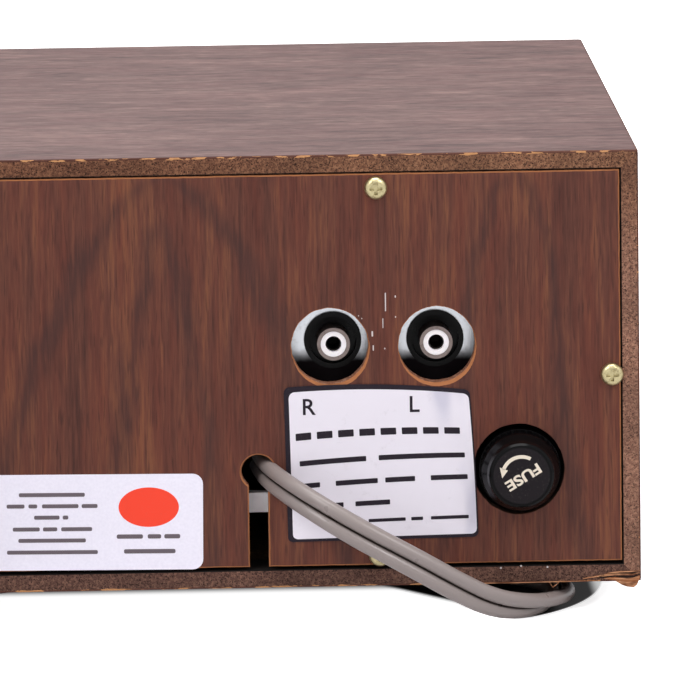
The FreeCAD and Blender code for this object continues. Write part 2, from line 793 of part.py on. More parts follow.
# ------------------------------------------------------------------ deck
post_x, post_y = bay_x + post_right, bay_end + head_depth + carriage_tab + post_back
cam_x, cam_y = bay_x - cam_left, bay_end + head_depth + cam_back
latch_roller_x = bay_x - bay_half - roller_radius + roller_bite
latch_roller_y = bay_end - latch_forward
latch_x, latch_y = deck_left + latch_boss_radius + sheet, latch_roller_y + latch_arm


def deck_screw_places():
    return [(x, y, floor + sheet) for x in (deck_left - deck_flange / 2, deck_right + deck_flange / 2)
            for y in (deck_front + deck_tab / 2, deck_front + deck_length - deck_tab / 2)]


def deck_chassis(screws):
    """Folded steel: a top plate, two skirts with feet, and the studs riveted into the plate."""
    y0, y1 = deck_front, deck_front + deck_length
    chassis = box(deck_left, deck_right, y0, y1, deck - sheet, deck)
    for inside, outside in ((deck_left + sheet, deck_left - deck_flange),
                            (deck_right - sheet, deck_right + deck_flange)):
        edge = deck_left if outside < inside else deck_right
        chassis = chassis.fuse(box(min(inside, edge), max(inside, edge), y0, y1, floor, deck - sheet))
        for tab in (y0, y1 - deck_tab):
            chassis = chassis.fuse(box(min(outside, edge), max(outside, edge), tab, tab + deck_tab,
                                       floor, floor + sheet))
    for side in (-1, 1):
        outer, inner = bay_x + side * (bay_half + sheet), bay_x + side * bay_half
        x0, x1 = min(outer, inner), max(outer, inner)
        rail = box(x0, x1, y0, bay_end, deck, deck + rail_height)
        if side < 0:
            rail = rail.cut(box(x0, x1, latch_roller_y - 2 * roller_radius, bay_end,
                                deck, deck + rail_height))
        chassis = chassis.fuse(rail)
    chassis = chassis.cut(rod(bearing_radius, (capstan_x, capstan_y, deck - sheet), Z, sheet))
    chassis = chassis.cut(rod(motor_boss_radius, (motor_x, motor_y, deck - sheet), Z, sheet))
    chassis = chassis.fuse(rod(post_radius, (post_x, post_y, deck), Z,
                               carriage_gap + carriage_sleeve + head_lift + fit_gap))
    chassis = chassis.fuse(rod(stud_radius, (cam_x, cam_y, deck), Z, cam_gap + ratchet_height + cam_base))
    chassis = chassis.fuse(rod(2 * stud_radius, (cam_x, cam_y, deck), Z, cam_gap - fit_gap))
    chassis = chassis.fuse(rod(latch_boss_radius, (latch_x, latch_y, deck), Z, latch_rise - fit_gap))
    chassis = chassis.fuse(rod(post_radius, (latch_x, latch_y, deck), Z,
                               latch_rise + 2 * latch_thickness))
    for screw in screws:
        chassis = chassis.cut(screw)
    return chassis.removeSplitter()


def capstan_bearing():
    start = deck + bearing_flange - bearing_length
    bearing = rod(bearing_radius, (capstan_x, capstan_y, start), Z, bearing_length)
    bearing = bearing.fuse(rod(bearing_flange_radius, (capstan_x, capstan_y, deck), Z, bearing_flange))
    return bearing.cut(rod(capstan_radius + running_gap, (capstan_x, capstan_y, start), Z,
                           bearing_length)).removeSplitter()


def capstan_shaft():
    start = flywheel_floor
    return rod(capstan_radius, (capstan_x, capstan_y, start), Z, deck + capstan_rise - start)


def flywheel():
    """A heavy rim on a thin web, with a hub pressed on the capstan's shaft."""
    at = (capstan_x, capstan_y, flywheel_floor)
    wheel = rod(flywheel_radius, at, Z, flywheel_height)
    hollow = sleeve(flywheel_radius - flywheel_rim, flywheel_hub_radius, at, Z,
                    flywheel_height - flywheel_web)
    return wheel.cut(hollow).cut(rod(capstan_radius, at, Z, flywheel_height))


def drive_motor():
    motor = rod(motor_radius, (motor_x, motor_y, deck), Z, motor_height)
    motor = motor.makeFillet(2.0, [e for e in motor.Edges if e.CenterOfMass.z > deck + motor_height - 1])
    motor = motor.fuse(rod(motor_boss_radius, (motor_x, motor_y, deck - motor_boss), Z, motor_boss))
    depth_of_bore = motor_boss + spindle_grip + fit_gap
    return motor.cut(rod(spindle_radius + running_gap, (motor_x, motor_y, deck - motor_boss), Z,
                         depth_of_bore)).removeSplitter()


def motor_pulley():
    floor_z = belt_floor + belt_width / 2 - pulley_height / 2
    wheel = rod(pulley_radius, (motor_x, motor_y, floor_z), Z, pulley_height)
    return wheel.fuse(rod(spindle_radius, (motor_x, motor_y, floor_z), Z, deck + spindle_grip - floor_z))


def drive_belt():
    centres = (capstan_x, capstan_y), (motor_x, motor_y)
    inner = flywheel_radius + belt_gap, pulley_radius + belt_gap
    outer = [radius + belt_thickness for radius in inner]
    band = hull_of_two(centres[0], outer[0], centres[1], outer[1], belt_floor, belt_width)
    return band.cut(hull_of_two(centres[0], inner[0], centres[1], inner[1], belt_floor, belt_width))


def tape_head():
    """The head's can, with a rounded face towards the cartridge."""
    z0 = deck + head_rise - head_height / 2
    can = box(bay_x - head_width / 2, bay_x + head_width / 2, bay_end, bay_end + head_depth,
              z0, z0 + head_height)
    return can.makeFillet(head_width / 4, [e for e in can.Edges if abs(e.CenterOfMass.y - bay_end) < 1e-6
                                           and abs(e.tangentAt(e.FirstParameter).z) > 0.99])


def head_carriage():
    """A tab behind the head, a plate over the cam with a follower pin, and a sleeve on the guide post."""
    y0 = bay_end + head_depth
    z0 = deck + carriage_gap
    half = head_width / 2
    tab = box(bay_x - half, bay_x + half, y0, y0 + carriage_tab,
              deck + head_rise - head_height / 2, deck + head_rise + head_height / 2)
    plate = box(cam_x - follower_radius * 2, post_x + carriage_sleeve_radius, y0,
                y0 + carriage_length, z0, z0 + carriage_plate)
    ring = (cam_ring_inner + cam_ring_outer) / 2
    pin_floor = deck + cam_gap + ratchet_height + cam_base + follower_gap
    pin = rod(follower_radius, (cam_x, cam_y - ring, pin_floor), Z, z0 - pin_floor)
    tube = rod(carriage_sleeve_radius, (post_x, post_y, z0), Z, carriage_sleeve)
    whole = tab.fuse(plate).fuse(pin).fuse(tube)
    return whole.cut(rod(post_radius + running_gap, (post_x, post_y, z0), Z,
                         carriage_sleeve)).removeSplitter()


def program_cam():
    """A ratchet under a disc with a crown of steps, one for each pair of tracks, twice in a turn."""
    z0 = deck + cam_gap
    crown = z0 + ratchet_height + cam_base
    step = 180 / cam_steps
    points = []
    for n in range(ratchet_teeth):
        turn = 2 * math.pi * n / ratchet_teeth
        for radius, lead in ((ratchet_radius, 0.0), (ratchet_radius - ratchet_tooth, 0.05)):
            points.append((cam_x + radius * math.cos(turn + lead), cam_y + radius * math.sin(turn + lead)))
    cam = outline(points, Z, z0, ratchet_height)
    cam = cam.fuse(rod(cam_radius, (cam_x, cam_y, z0 + ratchet_height), Z, cam_base))
    for n in range(2 * cam_steps):
        rise = head_lift * (n % cam_steps) / (cam_steps - 1)
        if rise:
            sector = Part.makeCylinder(cam_ring_outer, rise, Vector(cam_x, cam_y, crown), Z, step)
            sector = sector.cut(rod(cam_ring_inner, (cam_x, cam_y, crown), Z, rise))
            sector.rotate(Vector(cam_x, cam_y, 0), Z, -90 - step / 2 - step * n)
            cam = cam.fuse(sector)
    bore = rod(stud_radius + running_gap, (cam_x, cam_y, z0), Z, head_lift + crown - z0)
    return cam.cut(bore).removeSplitter()


def solenoid_axis():
    return bay_end + solenoid_back, deck + solenoid_height / 2


def solenoid():
    y, z = solenoid_axis()
    x0 = bay_x + solenoid_right - solenoid_width / 2
    body = box(x0, x0 + solenoid_width, y - solenoid_depth / 2, y + solenoid_depth / 2,
               deck, deck + solenoid_height)
    return body.cut(rod(plunger_radius + running_gap, (x0, y, z), X, solenoid_width * 0.8))


def solenoid_plunger():
    """The iron plunger, with an arm that reaches down and under the cam's disc to the ratchet."""
    y, z = solenoid_axis()
    x0 = bay_x + solenoid_right - solenoid_width / 2 - plunger_out
    reach = plunger_out + solenoid_width * 0.8 - plunger_travel - fit_gap
    plunger = rod(plunger_radius, (x0, y, z), X, reach)
    finger_floor, finger_top = deck + cam_gap, deck + cam_gap + ratchet_height - 2 * running_gap
    arm = box(x0, x0 + pawl_thickness, cam_y + cam_radius + pawl_clear, y, finger_floor, z + plunger_radius)
    finger = box(x0, x0 + pawl_thickness, cam_y + ratchet_radius + pawl_clear,
                 cam_y + cam_radius + pawl_clear, finger_floor, finger_top - 2 * running_gap)
    return plunger.fuse(arm).fuse(finger).removeSplitter()


def latch_lever():
    """A flat arm from the pivot to the roller's pin."""
    z0 = deck + latch_rise
    arm = hull_of_two((latch_x, latch_y), latch_width / 2, (latch_roller_x, latch_roller_y),
                      roller_pin * 2, z0, latch_thickness)
    pin = rod(roller_pin, (latch_roller_x, latch_roller_y, z0), Z,
              latch_thickness + roller_height + 2 * fit_gap)
    return arm.fuse(pin).cut(rod(post_radius + running_gap, (latch_x, latch_y, z0), Z, latch_thickness))


def latch_roller():
    start = deck + latch_rise + latch_thickness + fit_gap
    return sleeve(roller_radius, roller_pin + running_gap, (latch_roller_x, latch_roller_y, start),
                  Z, roller_height)


# ------------------------------------------------------------------ power supply and amplifier
transformer_x = clamp_left + clamp_width + transformer_clear + core_ear + core_width / 2
transformer_y = rear - transformer_setback
core_left, core_right = transformer_x - core_width / 2, transformer_x + core_width / 2


def transformer_windows():
    """The core's two windows, as (low x, high x)."""
    window = (core_width - 2 * core_leg) / 2
    limb = core_leg / 2
    return [(transformer_x - limb - window, transformer_x - limb),
            (transformer_x + limb, transformer_x + limb + window)]


def transformer_core(screws):
    """Stacked laminations with two windows, and ears that are screwed down."""
    y0, y1 = transformer_y - core_stack / 2, transformer_y + core_stack / 2
    core = box(core_left, core_right, y0, y1, floor, floor + core_height)
    for x0, x1 in transformer_windows():
        core = core.cut(box(x0, x1, y0, y1, floor + core_leg / 2, floor + core_height - core_leg / 2))
    core = core.fuse(box(core_left - core_ear, core_right + core_ear, y0, y1, floor, floor + sheet))
    for screw in screws:
        core = core.cut(screw)
    return core.removeSplitter()


def transformer_screw_places():
    return [(x, transformer_y, floor + sheet)
            for x in (core_left - core_ear / 2, core_right + core_ear / 2)]


def transformer_coil():
    (x0, a), (b, x1) = transformer_windows()
    reach = core_stack / 2 + coil_swell
    z0, z1 = floor + core_leg / 2 + coil_gap, floor + core_height - core_leg / 2 - coil_gap
    coil = rounded(box(x0 + coil_gap, x1 - coil_gap, transformer_y - reach, transformer_y + reach, z0, z1),
                   coil_swell / 3, Z)
    return coil.cut(box(a - coil_gap, b + coil_gap, transformer_y - core_stack / 2 - coil_gap,
                        transformer_y + core_stack / 2 + coil_gap, z0, z1))


amp_left, amp_right = inner_left + amp_inset, deck_left - deck_flange - amp_clear
amp_y = front + amp_setback
capacitor_x = amp_right - capacitor_margin - capacitor_radius
amp_floor = floor + spacer_height


def board_spacers():
    return [rod(spacer_radius, (x, amp_y + j * (amp_depth / 2 - spacer_margin), floor), Z, spacer_height)
            for x in (amp_left + spacer_margin, amp_right - spacer_margin) for j in (-1, 1)]


def amplifier_board():
    return box(amp_left, amp_right, amp_y - amp_depth / 2, amp_y + amp_depth / 2,
               amp_floor, amp_floor + amp_thickness)


def filter_capacitors():
    y = amp_y + amp_depth / 2 - 2 * capacitor_radius
    return [rod(capacitor_radius, (capacitor_x - n * capacitor_pitch, y, amp_floor + amp_thickness), Z,
                capacitor_height) for n in (1, 0)]


def heat_sink():
    """A comb of fins on a base plate, standing on the amplifier's board."""
    x0, x1 = amp_left + spacer_margin, capacitor_x - capacitor_pitch - capacitor_radius - sink_gap
    y0 = amp_y + amp_depth / 2 - spacer_margin - sink_depth
    z0 = amp_floor + amp_thickness
    sink = box(x0, x1, y0, y0 + sink_base, z0, z0 + sink_height)
    for n in range(sink_fins):
        x = x0 + n * (x1 - sink_fin - x0) / (sink_fins - 1)
        sink = sink.fuse(box(x, x + sink_fin, y0 + sink_base, y0 + sink_depth, z0, z0 + sink_height))
    return sink.removeSplitter()


# ------------------------------------------------------------------ cord clamp and mains lead
def clamp_screw_place():
    return clamp_left + clamp_width / 2, clamp_front - clamp_depth - clamp_width / 2, floor + sheet


def cord_clamp(screw):
    """White nylon: a post with a jaw round the lead, and a bar in front, across the keyhole's slot."""
    x0, x1 = clamp_left, clamp_left + clamp_width
    y0 = clamp_front - clamp_depth
    bar_floor = base + clamp_bar_rise
    bar_front = rear - clamp_bar_setback
    clamp = box(x0, x1, y0, clamp_front, floor, base + clamp_height)
    clamp = clamp.fuse(box(x0, x1, y0, bar_front, bar_floor, bar_floor + clamp_bar))
    clamp = clamp.fuse(box(keyhole_x - clamp_bar_beyond, x1, bar_front - clamp_bar_depth, bar_front,
                           bar_floor, bar_floor + clamp_bar))
    clamp = clamp.fuse(box(x0, x1, y0 - clamp_width, y0, floor, floor + sheet))
    return clamp.cut(screw).removeSplitter()


# The lead's route: from the clamp out of the keyhole, down across the label to the floor, round a
# bend under the cabinet, back below it and out at the rear, where its spare length is coiled.
# Each point is (x, distance behind the cabinet's rear, z).
cord_route = [
    (-45.2, -20.5, 38.6), (-51.0, -8.5, 38.3), (-55.2, 0.8, 37.8), (-60.2, 7.2, 36.0),
    (-67.0, 11.2, 32.4), (-75.6, 13.8, 26.8), (-85.4, 15.6, 20.6), (-96.6, 16.6, 13.4),
    (-108.8, 15.2, 7.0), (-120.4, 8.8, 4.1), (-128.4, -2.2, 3.3), (-132.6, -15.2, 2.6),
    (-130.4, -29.0, 2.5), (-122.4, -39.6, 2.5), (-109.8, -45.6, 2.5), (-94.6, -47.0, 2.5),
    (-77.0, -46.4, 2.5), (-56.0, -46.8, 2.5), (-34.0, -47.6, 2.5), (-13.0, -48.8, 2.5),
    (6.4, -46.6, 2.5), (21.4, -36.8, 2.5), (30.2, -21.4, 2.5), (32.6, -3.2, 2.5),
    (31.2, 16.6, 2.5), (28.4, 36.0, 2.5), (28.4, 54.0, 2.5),
]


def bent_wire(points):
    """Straight runs joined by arcs, each as large as its two runs allow, and the arcs' radii."""
    edges, radii, start = [], [], points[0]
    for before, corner, after in zip(points, points[1:], points[2:]):
        into, away = (corner - before), (after - corner)
        shorter = min(into.Length, away.Length)
        into, away = into.normalize(), away.normalize()
        cut = 0.45 * shorter
        half_turn = into.getAngle(away) / 2
        a, b = corner - into * cut, corner + away * cut
        radius = cut / math.tan(half_turn)
        centre_way = (away - into).normalize()
        middle = corner + centre_way * (radius / math.cos(half_turn) - radius)
        edges += [Part.LineSegment(start, a).toShape(), Part.Arc(a, middle, b).toShape()]
        radii.append(radius)
        start = b
    edges.append(Part.LineSegment(start, points[-1]).toShape())
    return Part.Wire(edges), radii


def mains_cord():
    points = [Vector(x, rear + back, z) for x, back, z in cord_route]
    path, radii = bent_wire(points)
    section = Part.Wire(Part.makeCircle(cord_radius, points[0], points[1] - points[0]))
    tube = path.makePipeShell([section], True, False)
    print("cord: length %.0f, volume over section times length %.4f" %
          (path.Length, tube.Volume / (math.pi * cord_radius ** 2 * path.Length)))
    print("cord radii:", " ".join("%.1f" % radius for radius in radii))
    return tube


def cord_coil():
    """The outer shape of the tied coil."""
    inner, outer = coil_middle_radius - coil_bundle / 2, coil_middle_radius + coil_bundle / 2
    ring = sleeve(outer, inner, (coil_x, rear + coil_off, 0), Z, coil_height)
    return ring.makeFillet(coil_round, [e for e in ring.Edges if e.Curve.TypeId == "Part::GeomCircle"])


def plug_place():
    """The middle of the plug's tail end: the plug lies on the coil's right side and points forward."""
    return coil_x + coil_middle_radius, rear + coil_off + plug_length / 2, coil_height


def plug_body(blades):
    x, y, z = plug_place()
    body = box(x - plug_width / 2, x + plug_width / 2, y - plug_length, y, z, z + plug_height)
    body = rounded(body, plug_round, Z)
    for blade in blades:
        body = body.cut(blade)
    return body


def plug_blades():
    x, y, z = plug_place()
    middle = z + plug_height / 2
    face = y - plug_length
    return [box(centre - blade_thickness / 2, centre + blade_thickness / 2,
                face - blade_length, face + blade_grip, middle - blade_width / 2, middle + blade_width / 2)
            for centre in (x - blade_pitch / 2, x + blade_pitch / 2)]


# ------------------------------------------------------------------ assembly
def assembly():
    nodes = cabinet_boards()
    nodes["feet"] = feet()
    nodes["panel_screws"] = panel_screws()
    nodes["panel_blocks"] = panel_blocks(nodes["panel_screws"])
    nodes["back_panel"] = back_panel()

    screw = cross_head_screw(wood_screw_head_radius, wood_screw_head_height,
                             wood_screw_radius, wood_screw_length)
    groups = {"deck": deck_screw_places(), "transformer": transformer_screw_places(),
              "bracket": bracket_screw_places(), "clamp": [clamp_screw_place()]}
    driven = {group: [placed(screw, at, Z) for at in places] for group, places in groups.items()}
    nodes["wood_screws"] = [one for some in driven.values() for one in some]
    for cut in nodes["wood_screws"] + nodes["feet"]:
        nodes["cabinet_bottom"] = nodes["cabinet_bottom"].cut(cut)

    nodes["data_label"] = thin_plate(left + label_inset, base + label_rise, label_width, label_height,
                                     label_corner, label_thickness)
    nodes["blank_sticker"] = thin_plate(left + sticker_inset, base + sticker_rise, sticker_width,
                                        sticker_height, sticker_corner, sticker_thickness)
    nodes.update(jack_parts())
    nodes["jack_bracket"] = jack_bracket(driven["bracket"])
    nodes["fuse_holder"] = fuse_holder()
    nodes["fuse_cap"] = fuse_cap()
    nodes["fuse_tube"] = fuse_tube()

    nodes["front_fascia"] = front_fascia(nodes["panel_screws"])
    nodes["door_hinge_pin"] = door_hinge_pin()
    nodes["cartridge_bezel"] = cartridge_bezel(nodes["door_hinge_pin"])
    nodes["cartridge_door"] = cartridge_door()
    nodes["door_spring"] = door_spring()
    for name, x in zip(("volume", "balance", "tone"), knob_places):
        nodes[name + "_knob"] = knob(x)
        nodes[name + "_shaft"] = knob_shaft(x)
    nodes["control_pots"] = control_pots()
    nodes["program_button"] = program_button()
    nodes["program_switch"] = program_switch()
    nodes["lens_strip"] = lens_strip()
    nodes["lamp_strip"] = lamp_strip()

    nodes["deck_chassis"] = deck_chassis(driven["deck"])
    nodes["capstan_bearing"] = capstan_bearing()
    nodes["capstan_shaft"] = capstan_shaft()
    nodes["flywheel"] = flywheel()
    nodes["drive_motor"] = drive_motor()
    nodes["motor_pulley"] = motor_pulley()
    nodes["drive_belt"] = drive_belt()
    nodes["tape_head"] = tape_head()
    nodes["head_carriage"] = head_carriage()
    nodes["program_cam"] = program_cam()
    nodes["solenoid"] = solenoid()
    nodes["solenoid_plunger"] = solenoid_plunger()
    nodes["latch_lever"] = latch_lever()
    nodes["latch_roller"] = latch_roller()

    nodes["transformer_core"] = transformer_core(driven["transformer"])
    nodes["transformer_coil"] = transformer_coil()
    nodes["board_spacers"] = board_spacers()
    nodes["amplifier_board"] = amplifier_board()
    nodes["filter_capacitors"] = filter_capacitors()
    nodes["heat_sink"] = heat_sink()

    nodes["cord_clamp"] = cord_clamp(driven["clamp"][0])
    nodes["mains_cord"] = mains_cord()
    nodes["cord_coil"] = cord_coil()
    nodes["plug_blades"] = plug_blades()
    nodes["plug_body"] = plug_body(nodes["plug_blades"])
    return nodes


os.makedirs("parts", exist_ok=True)
pieces = assembly()
for name, shape in pieces.items():
    whole = Part.makeCompound(shape) if isinstance(shape, list) else shape
    if not whole.isValid() or not whole.Solids:
        print("not a valid solid:", name)
    whole.exportStep("parts/%s.step" % name)
print("%d nodes, %d solids" % (len(pieces), sum(len(s) if isinstance(s, list) else len(s.Solids)
                                                for s in pieces.values())))
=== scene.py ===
# %% [markdown]
# # A walnut-cased 8 track player
# This lesson dresses a player for endless tape cartridges: a thin veneered cabinet, a walnut back
# with two phono jacks, a fuse and a grey two-core mains lead, and a brushed metal front. The exact
# solids come from the frame. Here they get their finishes, and the pieces whose real surface is
# rough or soft (worn boards, the lead, printed labels) are built again in mesh code.

# %% The frame
import json
import math

import bmesh
import bpy
from mathutils import Matrix, Vector, geometry, noise


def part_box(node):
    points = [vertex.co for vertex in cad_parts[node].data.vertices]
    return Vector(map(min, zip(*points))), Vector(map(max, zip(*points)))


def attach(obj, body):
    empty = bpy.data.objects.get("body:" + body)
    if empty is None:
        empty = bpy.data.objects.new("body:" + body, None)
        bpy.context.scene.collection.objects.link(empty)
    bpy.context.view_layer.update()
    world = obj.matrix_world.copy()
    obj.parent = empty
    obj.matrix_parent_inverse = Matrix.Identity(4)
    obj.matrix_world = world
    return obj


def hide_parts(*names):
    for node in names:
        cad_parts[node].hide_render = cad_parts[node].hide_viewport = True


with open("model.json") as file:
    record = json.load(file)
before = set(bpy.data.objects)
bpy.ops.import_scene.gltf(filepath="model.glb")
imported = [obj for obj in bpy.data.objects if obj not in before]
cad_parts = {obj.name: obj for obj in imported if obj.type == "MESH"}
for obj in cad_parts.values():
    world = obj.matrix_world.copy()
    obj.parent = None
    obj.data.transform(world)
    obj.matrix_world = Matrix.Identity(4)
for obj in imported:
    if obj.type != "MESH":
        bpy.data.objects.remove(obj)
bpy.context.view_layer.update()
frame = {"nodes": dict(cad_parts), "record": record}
solids = frame["nodes"]
MM = 0.001
left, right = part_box("cabinet_left_side")[0].x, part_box("cabinet_right_side")[1].x
front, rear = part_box("cabinet_top")[0].y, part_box("cabinet_top")[1].y
base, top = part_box("cabinet_bottom")[0].z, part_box("cabinet_top")[1].z
print("cabinet %.1f x %.1f x %.1f mm" % (
    (right - left) / MM, (rear - front) / MM, (top - base) / MM))

# %% [markdown]
# ## The viewpoint
# The player stands with its back towards us, seen a little from above with a long lens, so that its
# edges stay almost parallel. The camera's three directions are worked out from its pitch, yaw and
# roll, which keeps each angle readable, and its shift and depth of field stay off.

# %% Camera
PITCH, YAW, ROLL = (math.radians(angle) for angle in (9.16, -1.84, -0.74))
LENS, SENSOR, FARTHEST = 418.7, 36, 30
CAMERA_AT = Vector((-0.0121, rear + 2.0214, base + 0.3866))


def put_in_scene(name, data):
    thing = bpy.data.objects.new(name, data)
    bpy.context.scene.collection.objects.link(thing)
    return thing


def rear_camera():
    forward = Vector((math.sin(YAW) * math.cos(PITCH), -math.cos(YAW) * math.cos(PITCH),
                      -math.sin(PITCH)))
    level = Vector((-math.cos(YAW), -math.sin(YAW), 0))
    upright = level.cross(forward)
    across = level * math.cos(ROLL) + upright * math.sin(ROLL)
    up = upright * math.cos(ROLL) - level * math.sin(ROLL)
    lens = bpy.data.cameras.new("rear_view")
    lens.lens, lens.sensor_width, lens.clip_end = LENS, SENSOR, FARTHEST
    camera = put_in_scene("rear_view", lens)
    camera.matrix_world = Matrix((across, up, -forward)).transposed().to_4x4()
    camera.location = CAMERA_AT
    bpy.context.scene.camera = camera
    print("camera %.2f m behind the player" % (CAMERA_AT.y - rear))


rear_camera()

# %% [markdown]
# ## Small helpers
# Every mesh below is a list of points and faces, so one function turns those into an object, gives
# it its finishes and lets it ride on a body of the frame. Colours are written as they look on a
# screen, from 0 to 255, and are turned into the linear values that shaders use.

# %% Helpers for meshes
def rework(mesh, change):
    """Hands a mesh to bmesh, lets a function change it there, and writes it back."""
    work = bmesh.new()
    work.from_mesh(mesh)
    change(work)
    work.to_mesh(mesh)
    work.free()


def add_piece(name, points, faces, finishes, rides_on="cabinet", slots=None, smooth=True):
    mesh = bpy.data.meshes.new(name)
    mesh.from_pydata([tuple(p) for p in points], [], faces)
    for finish in finishes:
        mesh.materials.append(finish)
    if slots:
        mesh.polygons.foreach_set("material_index", slots)
    mesh.polygons.foreach_set("use_smooth", [smooth] * len(mesh.polygons))
    rework(mesh, lambda work: bmesh.ops.recalc_face_normals(work, faces=work.faces))
    piece = put_in_scene(name, mesh)
    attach(piece, rides_on)
    return piece


def joined_rings(rings, closed=False, capped=True):
    """Points and faces of a skin over rings that all have the same number of points."""
    count = len(rings[0])
    points = [p for ring in rings for p in ring]
    faces = []
    for n in range(len(rings) if closed else len(rings) - 1):
        a, b = n * count, (n + 1) % len(rings) * count
        faces += [(a + i, a + (i + 1) % count, b + (i + 1) % count, b + i) for i in range(count)]
    if capped and not closed:
        faces += [tuple(range(count))[::-1], tuple(range(len(points) - count, len(points)))]
    return points, faces


def sharp_edges(piece, degrees=35):
    """Keeps hard corners crisp on a smooth-shaded piece."""
    def mark(work):
        for edge in work.edges:
            edge.smooth = (len(edge.link_faces) == 2 and
                           edge.calc_face_angle(0) < math.radians(degrees))

    rework(piece.data, mark)
    return piece


# %% [markdown]
# Two small sums come up again and again: a share that eases in and out, for anything that passes
# smoothly from one state to the next, and the change from a screen's colour to a shader's.

# %% Helpers for shares and colours
def eased(share):
    """A share kept between 0 and 1 that sets off slowly and arrives slowly."""
    share = max(0.0, min(1.0, share))
    return share * share * (3 - 2 * share)


def colour(red, green, blue):
    def linear(value):
        value /= 255
        return value / 12.92 if value <= 0.04045 else ((value + 0.055) / 1.055) ** 2.4

    return linear(red), linear(green), linear(blue), 1.0


# %% [markdown]
# ## The mains lead
# A two-core lead is two round cores joined by a thin web, so it is 7.5 mm wide and 3.8 mm thick. It
# stands on edge where it crosses the label, and lies down as it turns in under the cabinet.
# Its line is one smooth curve through listed points: out of the keyhole in the back, down across
# the label, round a bend under the cabinet and back out behind it, where the spare length lies in a
# tied coil. Every place is in millimetres, with the rear face at 0 from front to back.

# %% The lead's route
ROUTE = [
    (-53.6, -22.5, 37.4), (-54.4, -10.5, 37.2), (-56.7, 0.6, 36.5), (-61.9, 10.0, 34.0),
    (-69.8, 16.4, 29.7), (-80.0, 19.4, 23.9), (-91.4, 19.6, 17.6), (-102.2, 18.0, 11.0),
    (-111.4, 14.6, 5.8), (-120.0, 8.6, 3.5), (-126.8, -0.8, 2.85), (-130.6, -12.8, 2.45),
    (-130.6, -26.0, 2.2), (-124.6, -37.2, 2.05), (-113.0, -44.4, 2.0), (-96.6, -47.0, 2.0),
    (-77.0, -46.4, 2.0), (-56.0, -46.8, 2.0), (-34.0, -47.6, 2.0), (-13.0, -48.8, 2.0),
    (6.4, -46.6, 2.0), (21.4, -36.8, 2.0), (30.2, -21.4, 2.0), (32.0, -3.2, 2.0),
    (30.0, 16.6, 2.1), (25.4, 34.0, 2.2), (24.0, 48.0, 2.3),
]
COIL_CENTRE, COIL_POINTS, EASE_POINTS, LOOSE = (66.0, 60.0), 16, 5, 0.175
COIL_TURNS = [(41.85, 2.25), (34.35, 2.35), (34.35, 6.2), (41.85, 6.2), (41.85, 10.05),
              (34.35, 10.1)]
TO_PLUG = [
    (31.2, 60.0, 10.3), (33.6, 75.0, 11.8), (41.0, 87.6, 14.6), (53.0, 97.0, 16.6),
    (67.0, 101.4, 18.0), (82.0, 100.4, 18.8), (94.4, 94.8, 18.95), (101.8, 86.4, 18.9),
    (104.0, 79.0, 18.9), (104.0, 74.0, 18.9),
]


def coil_points():
    """Six turns in three layers, clockwise from the left, each easing into the next one's place."""
    # A spline cuts inside its control points, so they stand a little outside the turns.
    swell = 4 / (3 + math.cos(2 * math.pi / COIL_POINTS))
    points = []
    for turn, (radius, z) in enumerate(COIL_TURNS):
        next_radius, next_z = COIL_TURNS[min(turn + 1, len(COIL_TURNS) - 1)]
        for n in range(COIL_POINTS):
            ease = eased((n - COIL_POINTS + EASE_POINTS) / EASE_POINTS)
            loose = LOOSE * math.sin(2.3 * turn + 1.7 * n)
            r = (radius + (next_radius - radius) * ease + loose) * swell
            angle = math.pi - 2 * math.pi * n / COIL_POINTS
            points.append((COIL_CENTRE[0] + r * math.cos(angle),
                           COIL_CENTRE[1] + r * math.sin(angle), z + (next_z - z) * ease))
    return points[1:] + TO_PLUG


# %% [markdown]
# The curve gives the line, and the figure-of-eight outline is carried along it. A free cord keeps
# its flat side down unless something twists it, so the outline turns from standing to lying over a
# short stretch where the lead reaches the table.

# %% The lead as one piece
CORE_RADIUS, CORE_OFFSET, WEB_HALF, CORE_STEPS = 1.88, 1.87, 0.28, 22
TWIST_FROM, TWIST_TO = 75 * MM, 140 * MM


def smooth_line(name, points):
    """The points of a NURBS curve that has the route's points as its control points."""
    curve = bpy.data.curves.new(name, "CURVE")
    curve.dimensions = "3D"
    spline = curve.splines.new("NURBS")
    spline.points.add(len(points) - 1)
    for control, (x, behind, z) in zip(spline.points, points):
        control.co = (x * MM, rear + behind * MM, z * MM, 1)
    spline.order_u = 3
    spline.use_endpoint_u = True
    spline.resolution_u = 8
    holder = put_in_scene(name, curve)
    line = bpy.data.meshes.new_from_object(holder)
    path = [v.co.copy() for v in line.vertices]
    bpy.data.objects.remove(holder)
    return path


def core_outline():
    """The figure of eight: points of two circles, joined by the web between them."""
    open_by = math.asin(WEB_HALF / CORE_RADIUS)
    outline = []
    for side in (1, -1):
        for n in range(CORE_STEPS + 1):
            turn = -math.pi + open_by + (2 * math.pi - 2 * open_by) * n / CORE_STEPS
            outline.append((side * (CORE_OFFSET + CORE_RADIUS * math.cos(turn)),
                            side * CORE_RADIUS * math.sin(turn)))
    return outline


def lead_lean(along):
    """How far the flat lead stands on its edge: upright across the label, flat on the table."""
    return (1 - eased((along - TWIST_FROM) / (TWIST_TO - TWIST_FROM))) * math.pi / 2


def lay_lead(path):
    """The lead's skin, and for each of its points how deep it lies in the groove."""
    outline = core_outline()
    rings, along = [], 0.0
    for n, spot in enumerate(path):
        following = path[min(n + 1, len(path) - 1)]
        ahead = (following - path[max(n - 1, 0)]).normalized()
        flat = ahead.cross(Vector((0, 0, 1))).normalized()
        lean = lead_lean(along)
        along += (following - spot).length
        wide = flat * math.cos(lean) + flat.cross(ahead) * math.sin(lean)
        thick = wide.cross(ahead)
        rings.append([spot + (wide * u + thick * v) * MM for u, v in outline])
    groove = [max(0.0, 1 - abs(u)) for u, _ in outline] * len(rings)
    return *joined_rings(rings), groove


